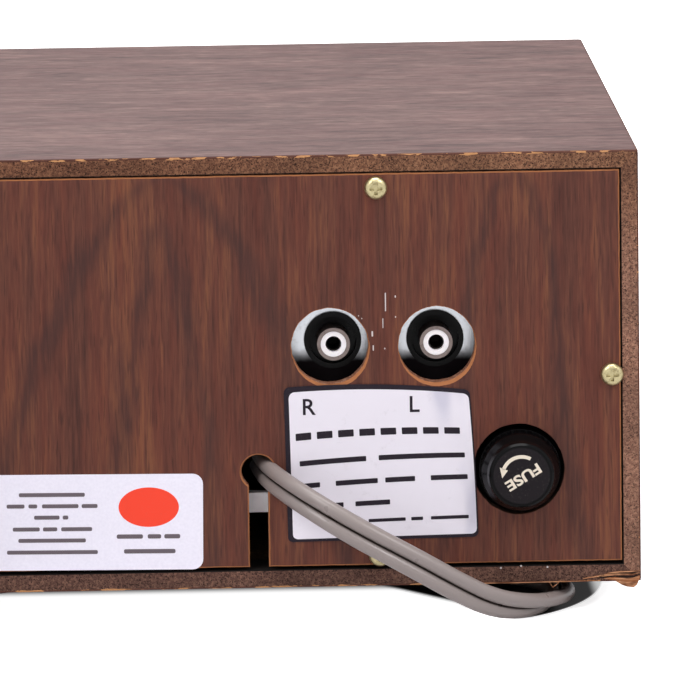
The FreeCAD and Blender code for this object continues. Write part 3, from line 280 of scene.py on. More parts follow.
lead_path = smooth_line("lead_line", ROUTE + coil_points())
lead_length = sum((b - a).length for a, b in zip(lead_path, lead_path[1:]))
print("lead: %.3f m along %d points" % (lead_length, len(lead_path)))

# %% [markdown]
# ## Shader helpers
# Materials are built from the same few moves: stretch the coordinates, look up a noise, push it
# through a ramp, and mix colours. Small functions for these keep each finish short.

# %% Helpers for single nodes
def feed(tree, socket, value):
    """Links a socket to another one, or sets its plain value."""
    if isinstance(value, bpy.types.NodeSocket):
        tree.links.new(value, socket)
    elif value is not None:
        socket.default_value = value


def maths(tree, operation, a, b=None, c=None, clamp=False):
    step = tree.nodes.new("ShaderNodeMath")
    step.operation, step.use_clamp = operation, clamp
    for socket, value in zip(step.inputs, (a, b, c)):
        feed(tree, socket, value)
    return step.outputs[0]


def distance(tree, a, b):
    """How far a point lies from a middle that it misses by a one way and by b the other."""
    squares = maths(tree, "ADD", maths(tree, "MULTIPLY", a, a), maths(tree, "MULTIPLY", b, b))
    return maths(tree, "SQRT", squares)


def blend(tree, factor, a, b, way="MIX"):
    step = tree.nodes.new("ShaderNodeMix")
    step.data_type, step.blend_type = "RGBA", way
    feed(tree, step.inputs[0], factor)
    feed(tree, step.inputs[6], a)
    feed(tree, step.inputs[7], b)
    return step.outputs[2]


def stretched(tree, vector, scale, turn=(0, 0, 0), shift=(0, 0, 0)):
    step = tree.nodes.new("ShaderNodeMapping")
    feed(tree, step.inputs["Vector"], vector)
    step.inputs["Scale"].default_value = scale
    step.inputs["Rotation"].default_value = turn
    step.inputs["Location"].default_value = shift
    return step.outputs[0]


def cloud(tree, vector, scale, detail=3.0, rough=0.55, twist=0.0):
    step = tree.nodes.new("ShaderNodeTexNoise")
    for name, value in (("Vector", vector), ("Scale", scale), ("Detail", detail),
                        ("Roughness", rough), ("Distortion", twist)):
        feed(tree, step.inputs[name], value)
    return step.outputs["Fac"]


def between(tree, value, low, high, to_low=0.0, to_high=1.0, smooth=False):
    """A ramp: to_low where the value is low, to_high where it is high."""
    step = tree.nodes.new("ShaderNodeMapRange")
    step.interpolation_type = "SMOOTHSTEP" if smooth else "LINEAR"
    for name, number in (("Value", value), ("From Min", low), ("From Max", high),
                         ("To Min", to_low), ("To Max", to_high)):
        feed(tree, step.inputs[name], number)
    return step.outputs["Result"]


def parts_of(tree, vector):
    step = tree.nodes.new("ShaderNodeSeparateXYZ")
    feed(tree, step.inputs[0], vector)
    return step.outputs


def bumped(tree, height, strength, distance_out):
    step = tree.nodes.new("ShaderNodeBump")
    step.inputs["Strength"].default_value = strength
    step.inputs["Distance"].default_value = distance_out
    feed(tree, step.inputs["Height"], height)
    return step.outputs["Normal"]


def here(tree):
    """A point's place in the row frame, which stays with its piece when the piece moves."""
    return tree.nodes.new("ShaderNodeTexCoord").outputs["Object"]


# %% [markdown]
# The effects that several finishes share are node groups, with named inputs and outputs. A group
# gives out only colours, masks and heights. The shader stays in the material itself, and a value
# that is the same all over a surface is set on the shader's own socket.

# %% Helpers for groups and materials
def new_group(name, takes, gives):
    group = bpy.data.node_groups.new(name, "ShaderNodeTree")
    for label, kind, value in takes:
        socket = group.interface.new_socket(label, in_out="INPUT",
                                            socket_type="NodeSocket" + kind)
        if value is not None:
            socket.default_value = value
    for label, kind in gives:
        group.interface.new_socket(label, in_out="OUTPUT", socket_type="NodeSocket" + kind)
    inside_group = group.nodes.new("NodeGroupInput").outputs
    return group, inside_group, group.nodes.new("NodeGroupOutput").inputs


def use_group(tree, group, **values):
    step = tree.nodes.new("ShaderNodeGroup")
    step.node_tree = group
    for name, value in values.items():
        feed(tree, step.inputs[name], value)
    return step.outputs


def wire(tree, shader, **values):
    """Feeds sockets of a shader, whose names are written with underscores for spaces."""
    for name, value in values.items():
        feed(tree, shader.inputs[name.replace("_", " ")], value)


def new_finish(name, **constants):
    """A material, its tree and its shader, with plain values set on the shader's own sockets."""
    finish = bpy.data.materials.new(name)
    finish.use_nodes = True
    shader = finish.node_tree.nodes["Principled BSDF"]
    wire(finish.node_tree, shader, **constants)
    return finish, finish.node_tree, shader


# %% [markdown]
# ## Table and light
# A pale table and soft light from above and from both sides of the viewer show wood and worn metal
# plainly. The table is lit like anything else and glows for the camera alone, which takes it to
# white. The glow fades far under the player and stops in one deep spot of shade beneath the lead.

# %% Table
TABLE_HALF = 6
SHADE_X, SHADE_BEHIND = -104 * MM, -50 * MM
SHADE_HALF_WIDE, SHADE_HALF_DEEP = 39 * MM, 61 * MM


def off_middle(tree, value, middle, half):
    return maths(tree, "DIVIDE", maths(tree, "SUBTRACT", value, middle), half)


def shade_spot(tree, x, behind):
    """The deep shade beneath the lead: an oval with a faint rim, cut off along a slanting line."""
    off = distance(tree, off_middle(tree, x, SHADE_X, SHADE_HALF_WIDE),
                   off_middle(tree, behind, SHADE_BEHIND, SHADE_HALF_DEEP))
    oval = maths(tree, "MAXIMUM", between(tree, off, 1.015, 0.985, smooth=True),
                 between(tree, off, 1.1, 1.04, 0.0, 0.22, smooth=True))
    slant = maths(tree, "ADD", behind, maths(tree, "MULTIPLY", x, 1.37))
    return maths(tree, "MULTIPLY", oval, between(tree, slant, -157 * MM, -163 * MM, smooth=True))


def table_glow(tree, x, y, behind, spot):
    """Full on the open table, faint far under the player, and gone in the spot of shade."""
    paler = maths(tree, "ADD", between(tree, x, -126 * MM, -131 * MM, 0.0, 0.025, smooth=True),
                  between(tree, x, -138.5 * MM, -141.8 * MM, 0.0, 0.5, smooth=True))
    dark = maths(tree, "MULTIPLY", spot, maths(tree, "SUBTRACT", 1.0, paler))
    past_side = maths(tree, "SUBTRACT", maths(tree, "ABSOLUTE", x), right)
    past_front = maths(tree, "SUBTRACT", front, y)
    away = maths(tree, "MAXIMUM", maths(tree, "MAXIMUM", past_side, past_front), behind)
    open_table = between(tree, away, -44 * MM, -34 * MM, 0.08, 1.0, smooth=True)
    return maths(tree, "MULTIPLY", open_table, maths(tree, "SUBTRACT", 1.0, dark))


def soft_table():
    finish, tree, shader = new_finish("table_top", Roughness=0.9, Emission_Color=(1, 1, 1, 1))
    x, y, _ = parts_of(tree, here(tree))
    behind = maths(tree, "SUBTRACT", y, rear)
    spot = shade_spot(tree, x, behind)
    seen = tree.nodes.new("ShaderNodeLightPath").outputs["Is Camera Ray"]
    glow = maths(tree, "MULTIPLY", seen, table_glow(tree, x, y, behind, spot))
    wire(tree, shader, Base_Color=blend(tree, spot, (0.86, 0.86, 0.88, 1), colour(20, 15, 15)),
         Emission_Strength=glow)
    mesh = bpy.data.meshes.new("table")
    corners = [(sx * TABLE_HALF, sy * TABLE_HALF, 0)
               for sx, sy in ((-1, -1), (1, -1), (1, 1), (-1, 1))]
    mesh.from_pydata(corners, [], [(0, 1, 2, 3)])
    mesh.materials.append(finish)
    put_in_scene("table", mesh)
    print("table: %d m square" % (2 * TABLE_HALF))


soft_table()

# %% [markdown]
# The world looks white to the camera, to glossy things and through glass, so metal has something
# pale to mirror, but it lights things only gently. Four large soft lamps do most of the lighting.

# %% Light
WORLD_LIGHT, WORLD_SEEN = 0.3, 1.05
REAR_AIM, ORIGIN, FRONT_AIM = (-0.05, rear, 0.05), (0, 0, 0), (0, front, 0.06)
LAMPS = [
    ("upper_left", (1.0, rear + 1.3, 1.5), REAR_AIM, (0.6, 0.6), 15),
    ("upper_right", (-1.1, rear + 1.3, 1.5), REAR_AIM, (0.6, 0.6), 13),
    ("overhead", (0.0, 0.3, 1.9), ORIGIN, (1.2, 0.9), 19),
    ("front_fill", (0.2, front - 1.5, 1.5), FRONT_AIM, (1.2, 0.8), 18),
]


def soft_box(name, at, towards, size, watts):
    lamp = bpy.data.lights.new(name, "AREA")
    lamp.shape, lamp.size, lamp.size_y = "RECTANGLE", size[0], size[1]
    lamp.energy = watts
    holder = put_in_scene(name, lamp)
    holder.location = at
    aim = Vector(towards) - Vector(at)
    holder.rotation_euler = aim.to_track_quat("-Z", "Y").to_euler()


def pale_world():
    world = bpy.data.worlds.new("studio")
    world.use_nodes = True
    bpy.context.scene.world = world
    tree = world.node_tree
    rays = tree.nodes.new("ShaderNodeLightPath").outputs
    seen = maths(tree, "MAXIMUM", rays["Is Camera Ray"], rays["Is Glossy Ray"])
    seen = maths(tree, "MAXIMUM", seen, rays["Is Transmission Ray"])
    wire(tree, tree.nodes["Background"], Color=(1.0, 0.99, 1.0, 1),
         Strength=between(tree, seen, 0.0, 1.0, WORLD_LIGHT, WORLD_SEEN))


pale_world()
for lamp_row in LAMPS:
    soft_box(*lamp_row)
print("lamps:", sum(row[-1] for row in LAMPS), "W in", len(LAMPS), "soft boxes")

# %% [markdown]
# ## Wood
# Walnut veneer has long fibres, so every pattern in it is stretched along the grain: broad soft
# bands, streaks a millimetre wide, and short dark pores. One group holds that recipe. It takes
# coordinates whose X runs along the grain, so each board can turn its own grain the right way.

# %% The grain group
def make_grain():
    tree, takes, gives = new_group("walnut_grain", [
        ("Vector", "Vector", None), ("Dark", "Color", colour(76, 42, 36)),
        ("Body", "Color", colour(106, 61, 48)), ("Light", "Color", colour(132, 82, 58)),
        ("Warm", "Color", colour(122, 56, 44)), ("Figure", "Float", 1.0), ("Pores", "Float", 0.2)],
        [("Color", "Color"), ("Height", "Float"), ("Streaks", "Float")])

    def fibre(scale, detail, rough, twist=0.0, shift=(0, 0, 0)):
        return cloud(tree, stretched(tree, takes["Vector"], scale, shift=shift), 1.0, detail,
                     rough, twist)

    bands = fibre((4, 62, 62), 2.0, 0.5, 0.8)
    streaks = fibre((16, 400, 400), 3.0, 0.55, 0.3)
    fibres = fibre((48, 1300, 1300), 3.0, 0.6, shift=(2, 5, 3))
    hue = fibre((9, 210, 210), 3.0, 0.6, shift=(7, 1, 4))
    pores = fibre((85, 1700, 1700), 1.0, 0.4, shift=(3, 7, 1))
    rings = tree.nodes.new("ShaderNodeTexWave")
    rings.wave_type, rings.bands_direction, rings.wave_profile = "BANDS", "Y", "SIN"
    wire(tree, rings, Vector=stretched(tree, takes["Vector"], (10, 30, 30)), Scale=0.9,
         Distortion=7.0, Detail=2.0, Detail_Scale=0.6)
    figure = maths(tree, "MULTIPLY", between(tree, rings.outputs["Fac"], 0.0, 1.0, -0.1, 0.1),
                   takes["Figure"])
    tone = maths(tree, "ADD", between(tree, bands, 0.3, 0.7, 0.36, 0.64), figure)
    tone = maths(tree, "ADD", tone, between(tree, streaks, 0.3, 0.7, -0.19, 0.19))
    tone = maths(tree, "ADD", tone, between(tree, fibres, 0.3, 0.7, -0.22, 0.22), clamp=True)
    wood = blend(tree, between(tree, tone, 0.0, 0.5), takes["Dark"], takes["Body"])
    wood = blend(tree, between(tree, tone, 0.5, 1.0), wood, takes["Light"])
    wood = blend(tree, between(tree, hue, 0.42, 0.66, 0.0, 0.34), wood, takes["Warm"])
    pore_mask = maths(tree, "MULTIPLY", between(tree, pores, 0.42, 0.3), takes["Pores"])
    fibre_height = between(tree, fibres, 0.2, 0.8, 0.3, 1.0)
    feed(tree, gives["Color"], blend(tree, pore_mask, wood, takes["Dark"]))
    feed(tree, gives["Height"], maths(tree, "SUBTRACT", fibre_height, pore_mask))
    feed(tree, gives["Streaks"], tone)
    print("walnut grain:", len(tree.nodes), "nodes")
    return tree


walnut_grain = make_grain()

# %% [markdown]
# The boards are chipboard under their veneer, and it shows wherever they were sawn: a speckle of
# dark and tan chips well under a millimetre across. The raw rims of the back's holes use the same
# group with redder colours.

# %% The chipboard group
def make_chipboard():
    tree, takes, gives = new_group("sawn_chipboard", [
        ("Vector", "Vector", None), ("Dark", "Color", colour(62, 40, 32)),
        ("Body", "Color", colour(118, 82, 64)), ("Chip", "Color", colour(146, 108, 84)),
        ("Scale", "Float", 1.0)], [("Color", "Color"), ("Height", "Float")])
    scaled = tree.nodes.new("ShaderNodeVectorMath")
    scaled.operation = "SCALE"
    feed(tree, scaled.inputs[0], takes["Vector"])
    feed(tree, scaled.inputs["Scale"], takes["Scale"])
    at = scaled.outputs[0]
    coarse = cloud(tree, at, 1100, 3.0, 0.6)
    fine = cloud(tree, at, 2900, 2.0, 0.6)
    patches = cloud(tree, at, 70, 2.0, 0.5)
    wood = blend(tree, between(tree, coarse, 0.44, 0.62), takes["Body"], takes["Chip"])
    wood = blend(tree, between(tree, patches, 0.35, 0.65, 0.0, 0.35), wood, takes["Dark"])
    wood = blend(tree, between(tree, fine, 0.47, 0.36, 0.0, 0.95), wood, takes["Dark"])
    feed(tree, gives["Color"], wood)
    feed(tree, gives["Height"], maths(tree, "ADD", coarse, fine))
    print("sawn chipboard:", len(tree.nodes), "nodes")
    return tree


sawn_chipboard = make_chipboard()

# %% [markdown]
# Handling breaks the veneer along the cabinet's corners and shows the pale wood below. A point's
# distance from a corner is worked out from its depth below two faces at once, and the worn group
# breaks that thin line up with noise. The group also tells the veneer's own thin skin, which shows
# as a line round every sawn edge.

# %% The worn corner group
SKIN_THICK = 0.0004


def make_worn_corner():
    tree, takes, gives = new_group("worn_corner", [
        ("Vector", "Vector", None), ("Reach", "Float", 0.0006), ("Wear", "Float", 0.5)],
        [("Mask", "Float"), ("Skin", "Float")])

    def inside_of(value, low, high):
        return maths(tree, "MINIMUM", maths(tree, "SUBTRACT", high, value),
                     maths(tree, "SUBTRACT", value, low))

    x, y, z = parts_of(tree, takes["Vector"])
    aside = maths(tree, "SUBTRACT", right, maths(tree, "ABSOLUTE", x))
    upright, behind = inside_of(z, base, top), inside_of(y, front, rear)
    deep = maths(tree, "MINIMUM", aside, upright)
    near = maths(tree, "MINIMUM", maths(tree, "MAXIMUM", deep, behind),
                 maths(tree, "MAXIMUM", aside, upright))
    flecks = cloud(tree, stretched(tree, takes["Vector"], (220, 420, 900)), 1.0, 3.0, 0.6)
    limit = maths(tree, "SUBTRACT", 0.74, maths(tree, "MULTIPLY", takes["Wear"], 0.4))
    broken = maths(tree, "GREATER_THAN", flecks, limit)
    reach = maths(tree, "MULTIPLY", takes["Reach"], between(tree, flecks, 0.4, 0.8, 0.3, 1.6))
    feed(tree, gives["Skin"], maths(tree, "LESS_THAN", deep, SKIN_THICK))
    feed(tree, gives["Mask"],
         maths(tree, "MULTIPLY", broken, maths(tree, "LESS_THAN", near, reach)))
    print("worn corner:", len(tree.nodes), "nodes")
    return tree


worn_corner = make_worn_corner()

# %% [markdown]
# The same veneer looks different from board to board: the top is painted a paler, dusty mauve
# brown, which is painted sheen for the pale reflection it shows when seen low, and the ends are
# redder. So one function makes a veneer from four colours and from how its grain is turned and
# stretched.

# %% Veneer
QUARTER = math.pi / 2
VENEER_CHIP, VENEER_REACH, VENEER_WEAR = colour(190, 142, 104), 0.0003, 0.45


def veneer(name, turn, scale, colours, figure, gloss):
    finish, tree, shader = new_finish(name, Specular_IOR_Level=gloss)
    at = stretched(tree, stretched(tree, here(tree), (1, 1, 1), turn), scale)
    dark, body, light, warm = (colour(*tint) for tint in colours)
    grain = use_group(tree, walnut_grain, Vector=at, Dark=dark, Body=body, Light=light, Warm=warm,
                      Figure=figure, Pores=0.35)
    worn = use_group(tree, worn_corner, Vector=here(tree), Reach=VENEER_REACH, Wear=VENEER_WEAR)
    wire(tree, shader, Base_Color=blend(tree, worn["Mask"], grain["Color"], VENEER_CHIP),
         Roughness=between(tree, grain["Streaks"], 0.0, 1.0, 0.58, 0.46),
         Normal=bumped(tree, grain["Height"], 0.3, 0.0002))
    print("veneer:", name)
    return finish


# Painted sheen: the top's paler, greyer colours stand for its low-angle reflection, so its own
# gloss is kept low.
top_veneer = veneer("top_veneer", (0, 0, 0), (4.4, 0.8, 0.8), [
    (56, 37, 37), (93, 66, 63), (132, 99, 91), (105, 66, 65)], 0.3, 0.07)
side_veneer = veneer("side_veneer", (0, QUARTER, 0), (2.4, 0.6, 0.6), [
    (60, 36, 30), (92, 56, 45), (118, 76, 56), (104, 52, 40)], 0.7, 0.2)

# %% [markdown]
# Each sawn edge has its own mix of chips. Two of them also darken along their length towards one
# end, which a tint multiplied in along one axis gives. Inside the cabinet the boards are plain,
# with painted shade that turns them nearly black close behind the back panel.

# %% Sawn edges
EDGE_CHIP, EDGE_SKIN = colour(188, 136, 92), colour(92, 58, 48)


def board_edge(name, dark, body, chip, wear, tint=None, axis=2, low=0.0, high=1.0):
    """Sawn edge of a board. A tint comes in along an axis, from the place low to the place high."""
    finish, tree, shader = new_finish(name, Roughness=0.8, Specular_IOR_Level=0.15)
    at = here(tree)
    chips = use_group(tree, sawn_chipboard, Vector=at, Dark=colour(*dark), Body=colour(*body),
                      Chip=colour(*chip))
    worn = use_group(tree, worn_corner, Vector=at, Reach=0.0005, Wear=wear)
    wood = blend(tree, worn["Skin"], chips["Color"], EDGE_SKIN)
    if tint:
        drift = between(tree, parts_of(tree, at)[axis], low, high, smooth=True)
        wood = blend(tree, drift, wood, blend(tree, 1.0, wood, tint, "MULTIPLY"))
    wire(tree, shader, Base_Color=blend(tree, worn["Mask"], wood, EDGE_CHIP),
         Normal=bumped(tree, chips["Height"], 0.5, 0.00025))
    print("sawn edge:", name)
    return finish


top_edge = board_edge("top_edge", (39, 24, 20), (120, 82, 62), (158, 114, 86), 0.5,
                      (0.72, 0.66, 0.66, 1), 0, -125 * MM, -5 * MM)
end_edge = board_edge("end_edge", (62, 42, 36), (134, 96, 80), (172, 128, 106), 0.25,
                      (0.74, 0.68, 0.6, 1), 2, top - 34 * MM, top - 5 * MM)
low_edge = board_edge("low_edge", (38, 25, 22), (94, 66, 57), (128, 94, 80), 0.55)


def make_board_inside():
    finish, tree, shader = new_finish("board_inside", Roughness=0.85, Specular_IOR_Level=0.2)
    at = here(tree)
    chips = use_group(tree, sawn_chipboard, Vector=at, Dark=colour(70, 48, 34),
                      Body=colour(112, 84, 62), Chip=colour(140, 108, 78), Scale=0.6)
    # Painted shade: nearly black close behind the back panel, inside the closed box.
    stain_and_shade = between(tree, parts_of(tree, at)[1], rear - 26 * MM, rear - 12 * MM, smooth=True)
    wire(tree, shader, Base_Color=blend(tree, stain_and_shade, chips["Color"], colour(16, 11, 9)),
         Normal=bumped(tree, chips["Height"], 0.3, 0.0002))
    return finish


board_inside = make_board_inside()

# %% [markdown]
# ## The cabinet's boards
# Four boards meet at mitred corners. Each is swept from one outline, from mitre to mitre, and the
# outline's corners are nibbled away by noise as it goes, which gives real chips and dents along the
# edges where a bevel would give a line that is too clean.

# %% A board's outline
THICK = (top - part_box("front_fascia")[1].z) - 0.3 * MM
VENEERED, SAWN, INSIDE = 0, 1, 2


def edge_loss(along, across, seed):
    """How much of a corner is broken away, in metres."""
    small = noise.noise(Vector((along * 900, across * 40, seed))) * 0.06
    bite = noise.noise(Vector((along * 170, across * 9, seed + 7)))
    chip = max(0.0, bite - 0.22) * 0.75
    return (0.16 + small + chip) * MM


def board_outline(along, seed):
    """(y, depth below the outer face, finish) round the board, starting at the front."""
    back, face = edge_loss(along, 1, seed), edge_loss(along, 5, seed)
    saw = [noise.noise(Vector((along * 700, n * 3.1, seed))) * 0.04 * MM for n in range(4)]
    sawn_y = rear - 0.05 * MM
    return [
        (front + face, 0, VENEERED), (front + 1.2 * MM, 0, VENEERED),
        (front + 30 * MM, 0, VENEERED), (0, 0, VENEERED), (rear - 30 * MM, 0, VENEERED),
        (rear - 1.6 * MM, 0, VENEERED), (rear - back * 1.15, 0, SAWN),
        (rear - back * 0.35, back * 0.4, SAWN), (rear, back * 1.2, SAWN),
        (sawn_y + saw[0], 1.5 * MM, SAWN), (sawn_y + saw[1], 2.7 * MM, SAWN),
        (sawn_y + saw[2], 3.8 * MM, SAWN), (rear, THICK - 0.2 * MM, SAWN),
        (rear - 0.2 * MM, THICK, INSIDE), (0, THICK, INSIDE), (front + 0.2 * MM, THICK, INSIDE),
        (front, THICK - 0.2 * MM, SAWN), (front - saw[3] * 0.2, 2.2 * MM, SAWN),
        (front, face * 1.2, SAWN), (front + face * 0.3, face * 0.35, SAWN)]


print("boards %.1f mm thick, %d points round each" % (THICK / MM, len(board_outline(0, 1))))

# %% [markdown]
# The outline travels along the board in steps of 0.7 mm. A point deeper in the board stops sooner,
# which makes the mitre, and the last step rounds the outer corner off a little.

# %% Boards swept from mitre to mitre
STATION, CORNER, CORNER_DROP = 0.7 * MM, 0.45 * MM, 0.18 * MM


def sweep_board(node, middle, along_axis, out_axis, half, skin, edge, seed):
    stations = round(2 * half / STATION)
    rings, kinds = [], []
    for n in range(stations + 1):
        share = 2 * n / stations - 1
        ring = []
        for y, deep, kind in board_outline(share * half, seed):
            reach = half - deep
            at_corner = reach - abs(share) * reach < CORNER and deep < 0.5 * MM
            drop = deep + CORNER_DROP if at_corner else deep
            ring.append(middle + along_axis * (share * reach) - out_axis * drop +
                        Vector((0, y, 0)))
            kinds.append(kind)
        rings.append(ring)
    points, faces = joined_rings(rings)
    slots = [max(kinds[face[0]], kinds[face[1]]) if len(face) == 4 else SAWN for face in faces]
    piece = add_piece(node + "_worn", points, faces, [skin, edge, board_inside], slots=slots)
    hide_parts(node)
    print(node, "swept with", len(rings), "outlines")
    return sharp_edges(piece, 50)


X, Z = Vector((1, 0, 0)), Vector((0, 0, 1))
half_high, mid_high = (top - base) / 2, (top + base) / 2
sweep_board("cabinet_top", Vector((0, 0, top)), X, Z, right, top_veneer, top_edge, 1)
sweep_board("cabinet_bottom", Vector((0, 0, base)), X, -Z, right, top_veneer, low_edge, 2)
sweep_board("cabinet_left_side", Vector((left, 0, mid_high)), Z, -X, half_high, side_veneer,
            end_edge, 3)
sweep_board("cabinet_right_side", Vector((right, 0, mid_high)), Z, X, half_high, side_veneer,
            end_edge, 4)

# %% [markdown]
# ## The back panel
# The back is a 4.5 mm walnut board whose holes were cut roughly, so their rims are raw and a little
# ragged. The places of the jacks and the fuse are read from their solids. Each hole is a rough
# circle, and the jacks' holes are wider at their feet, where the saw broke out.

# %% Places and holes on the back
jack_low, jack_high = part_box("jack_shells")
jack_radius = (jack_high.z - jack_low.z) / 2
jack_z = (jack_low.z + jack_high.z) / 2
jack_xs = (jack_low.x + jack_radius, jack_high.x - jack_radius)
fuse_low, fuse_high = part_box("fuse_cap")
fuse_x, fuse_z = (fuse_low.x + fuse_high.x) / 2, (fuse_low.z + fuse_high.z) / 2
panel_low, panel_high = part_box("back_panel")
KEYHOLE_X, KEYHOLE_Z, KEYHOLE_RADIUS, SLOT_HALF = -53.5 * MM, 37.8 * MM, 4.35 * MM, 2.45 * MM
JACK_HOLE, JACK_GROWTH, FUSE_HOLE, FUSE_GROWTH = 9.7 * MM, 0.95 * MM, 11.5 * MM, 0.2 * MM
HOLES = [(jack_xs[0], jack_z, JACK_HOLE, JACK_GROWTH),
         (jack_xs[1] + 1.0 * MM, jack_z, JACK_HOLE, JACK_GROWTH),
         (fuse_x + 0.2 * MM, fuse_z + 0.2 * MM, FUSE_HOLE, FUSE_GROWTH)]
EDGE_SEED, HOLE_SEED, RIM_SEED = 11, 12, 5


def ragged(x, z, amount, seed):
    return (noise.noise(Vector((x * 420, z * 420, seed))) * 0.6 +
            noise.noise(Vector((x * 1500, z * 1500, seed + 3))) * 0.4) * amount


def hole_loop(x, z, radius, grow, seed=HOLE_SEED):
    """A rough circle. It grows outwards by a share that is widest at its foot."""
    count = max(24, int(2 * math.pi * radius / (0.45 * MM)))
    loop = []
    for n in range(count):
        turn = 2 * math.pi * n / count
        rough = ragged(x + radius * math.cos(turn), z + radius * math.sin(turn), 0.22 * MM, seed)
        foot = max(0.0, -math.sin(turn + 0.25)) ** 1.5
        r = radius + grow * (0.2 + 0.8 * foot) + rough
        loop.append((x + r * math.cos(turn), z + r * math.sin(turn)))
    return loop


print("holes: %.1f, %.1f and %.1f mm across" % tuple(2 * r / MM for _, _, r, _ in HOLES))

# %% [markdown]
# The panel's own outline takes in the keyhole: up one side of its slot, round its top, and down
# the other side. Every run is cut into short steps, so that noise can make it waver.

# %% The panel's outline
EDGE_STEP, KEYHOLE_STEPS = 1.1 * MM, 44


def panel_loop(inset, seed=EDGE_SEED):
    """The panel's outline, anticlockwise from its lower left corner, with the keyhole's slot."""
    x0, x1 = panel_low.x + inset, panel_high.x - inset
    z0, z1 = panel_low.z + inset, panel_high.z - inset
    radius, half = KEYHOLE_RADIUS + inset, SLOT_HALF + inset
    low = math.asin(half / radius)
    turns = [-low - (2 * math.pi - 2 * low) * n / KEYHOLE_STEPS for n in range(KEYHOLE_STEPS + 1)]
    around = [(KEYHOLE_X + radius * math.sin(turn), KEYHOLE_Z - radius * math.cos(turn))
              for turn in turns]
    slot_left, slot_right = (KEYHOLE_X - half, z0), (KEYHOLE_X + half, z0)
    corners = [(x0, z0), slot_left, *around, slot_right, (x1, z0), (x1, z1), (x0, z1), (x0, z0)]
    loop = []
    for (ax, az), (bx, bz) in zip(corners, corners[1:]):
        count = max(1, round(math.hypot(bx - ax, bz - az) / EDGE_STEP))
        loop += [(ax + (bx - ax) * n / count, az + (bz - az) * n / count) for n in range(count)]
    return [(x + ragged(x, z, 0.1 * MM, seed), z + ragged(z, x, 0.1 * MM, seed)) for x, z in loop]


def inside(loop, x, z):
    """Whether a place lies in a loop, from how often a line out of it crosses the loop's sides."""
    crossed = False
    for (ax, az), (bx, bz) in zip(loop, loop[1:] + loop[:1]):
        if (az > z) != (bz > z) and x < ax + (z - az) / (bz - az) * (bx - ax):
            crossed = not crossed
    return crossed


# %% [markdown]
# The face between the loops is triangulated, with spare points spread over it so that no triangle
# is very long. Then each loop is carried back through the thickness, first over its broken front
# corner and then straight, which gives the raw rims.

# %% The panel's mesh
INSET, SPARE_STEP, SPARE_GAP = 0.32 * MM, 7.3 * MM, 3 * MM
FACE_SLOT, RIM_SLOT = 0, 1


def panel_front(loops):
    """Points and triangles of the face inside the first loop and outside the others."""
    def on_face(x, z):
        return inside(loops[0], x, z) and not any(inside(loop, x, z) for loop in loops[1:])

    edges, start = [], 0
    for loop in loops:
        edges += [(start + n, start + (n + 1) % len(loop)) for n in range(len(loop))]
        start += len(loop)
    grid = [(x * SPARE_STEP, z * SPARE_STEP) for x in range(-19, 20) for z in range(2, 15)]
    spare = [(x, z) for x, z in grid if on_face(x, z) and
             all(abs(math.hypot(x - hx, z - hz) - r) > SPARE_GAP for hx, hz, r, _ in HOLES)]
    flat = [Vector(p) for loop in loops for p in loop] + [Vector(p) for p in spare]
    verts, _, tris, *_ = geometry.delaunay_2d_cdt(flat, edges, [], 0, 1e-7)
    faces = [tuple(tri) for tri in tris
             if on_face(*(sum(verts[i][axis] for i in tri) / 3 for axis in (0, 1)))]
    return [(v.x, rear, v.y) for v in verts], faces


def build_back_panel():
    fronts = [panel_loop(INSET)] + [hole_loop(x, z, r, grow) for x, z, r, grow in HOLES]
    mids = [panel_loop(0)] + [hole_loop(x, z, r, 0) for x, z, r, _ in HOLES]
    points, faces = panel_front(fronts)
    slots = [FACE_SLOT] * len(faces)
    for front_loop, mid_loop in zip(fronts, mids):
        rings = [[(x, rear, z) for x, z in front_loop]]
        rings += [[(x, rear - (0.3 * MM + abs(ragged(x, z, 0.12 * MM, RIM_SEED))), z)
                   for x, z in mid_loop]]
        rings += [[(x, rear - deep * MM, z) for x, z in mid_loop] for deep in (2.4, 4.5)]
        extra = len(points)
        ring_points, ring_faces = joined_rings(rings, capped=False)
        points += ring_points
        faces += [tuple(extra + i for i in face) for face in ring_faces]
        slots += [RIM_SLOT] * len(ring_faces)
    return points, faces, slots


# %% [markdown]
# Plain-sawn walnut shows dark arches, one inside the other, where the saw met the tree's rings at a
# low angle. An arch is two legs that spread with the square root of the drop below its peak, and a
# little noise makes them wander.

# %% The arch group and the panel's face
ARCHES = [(-0.0300, 0.102, 0.041, 0.0040), (-0.0310, 0.113, 0.145, 0.0050),
          (0.026, 0.104, 0.034, 0.0038), (0.083, 0.112, 0.045, 0.004),
          (-0.1180, 0.113, 0.060, 0.0040)]
ARCH_TINT, ARCH_SWAY = colour(64, 40, 37), 0.0035


def make_cathedral():
    """A dark arch in the grain: its middle and peak, how its legs spread, and how wide each is."""
    tree, takes, gives = new_group("cathedral", [
        ("X", "Float", 0.0), ("Z", "Float", 0.0), ("Middle", "Float", 0.0), ("Peak", "Float", 0.1),
        ("Spread", "Float", 0.03), ("Leg", "Float", 0.002)], [("Mask", "Float")])
    drop = maths(tree, "SUBTRACT", takes["Peak"], takes["Z"])
    spread = maths(tree, "MULTIPLY", maths(tree, "SQRT", maths(tree, "MAXIMUM", drop, 0.0)),
                   takes["Spread"])
    aside = maths(tree, "ABSOLUTE", maths(tree, "SUBTRACT", takes["X"], takes["Middle"]))
    off_leg = maths(tree, "ABSOLUTE", maths(tree, "SUBTRACT", aside, spread))
    leg = between(tree, maths(tree, "DIVIDE", off_leg, takes["Leg"]), 1.0, 0.0, smooth=True)
    below = between(tree, drop, -0.003, 0.004, smooth=True)
    feed(tree, gives["Mask"], maths(tree, "MULTIPLY", below, leg))
    return tree


cathedral = make_cathedral()


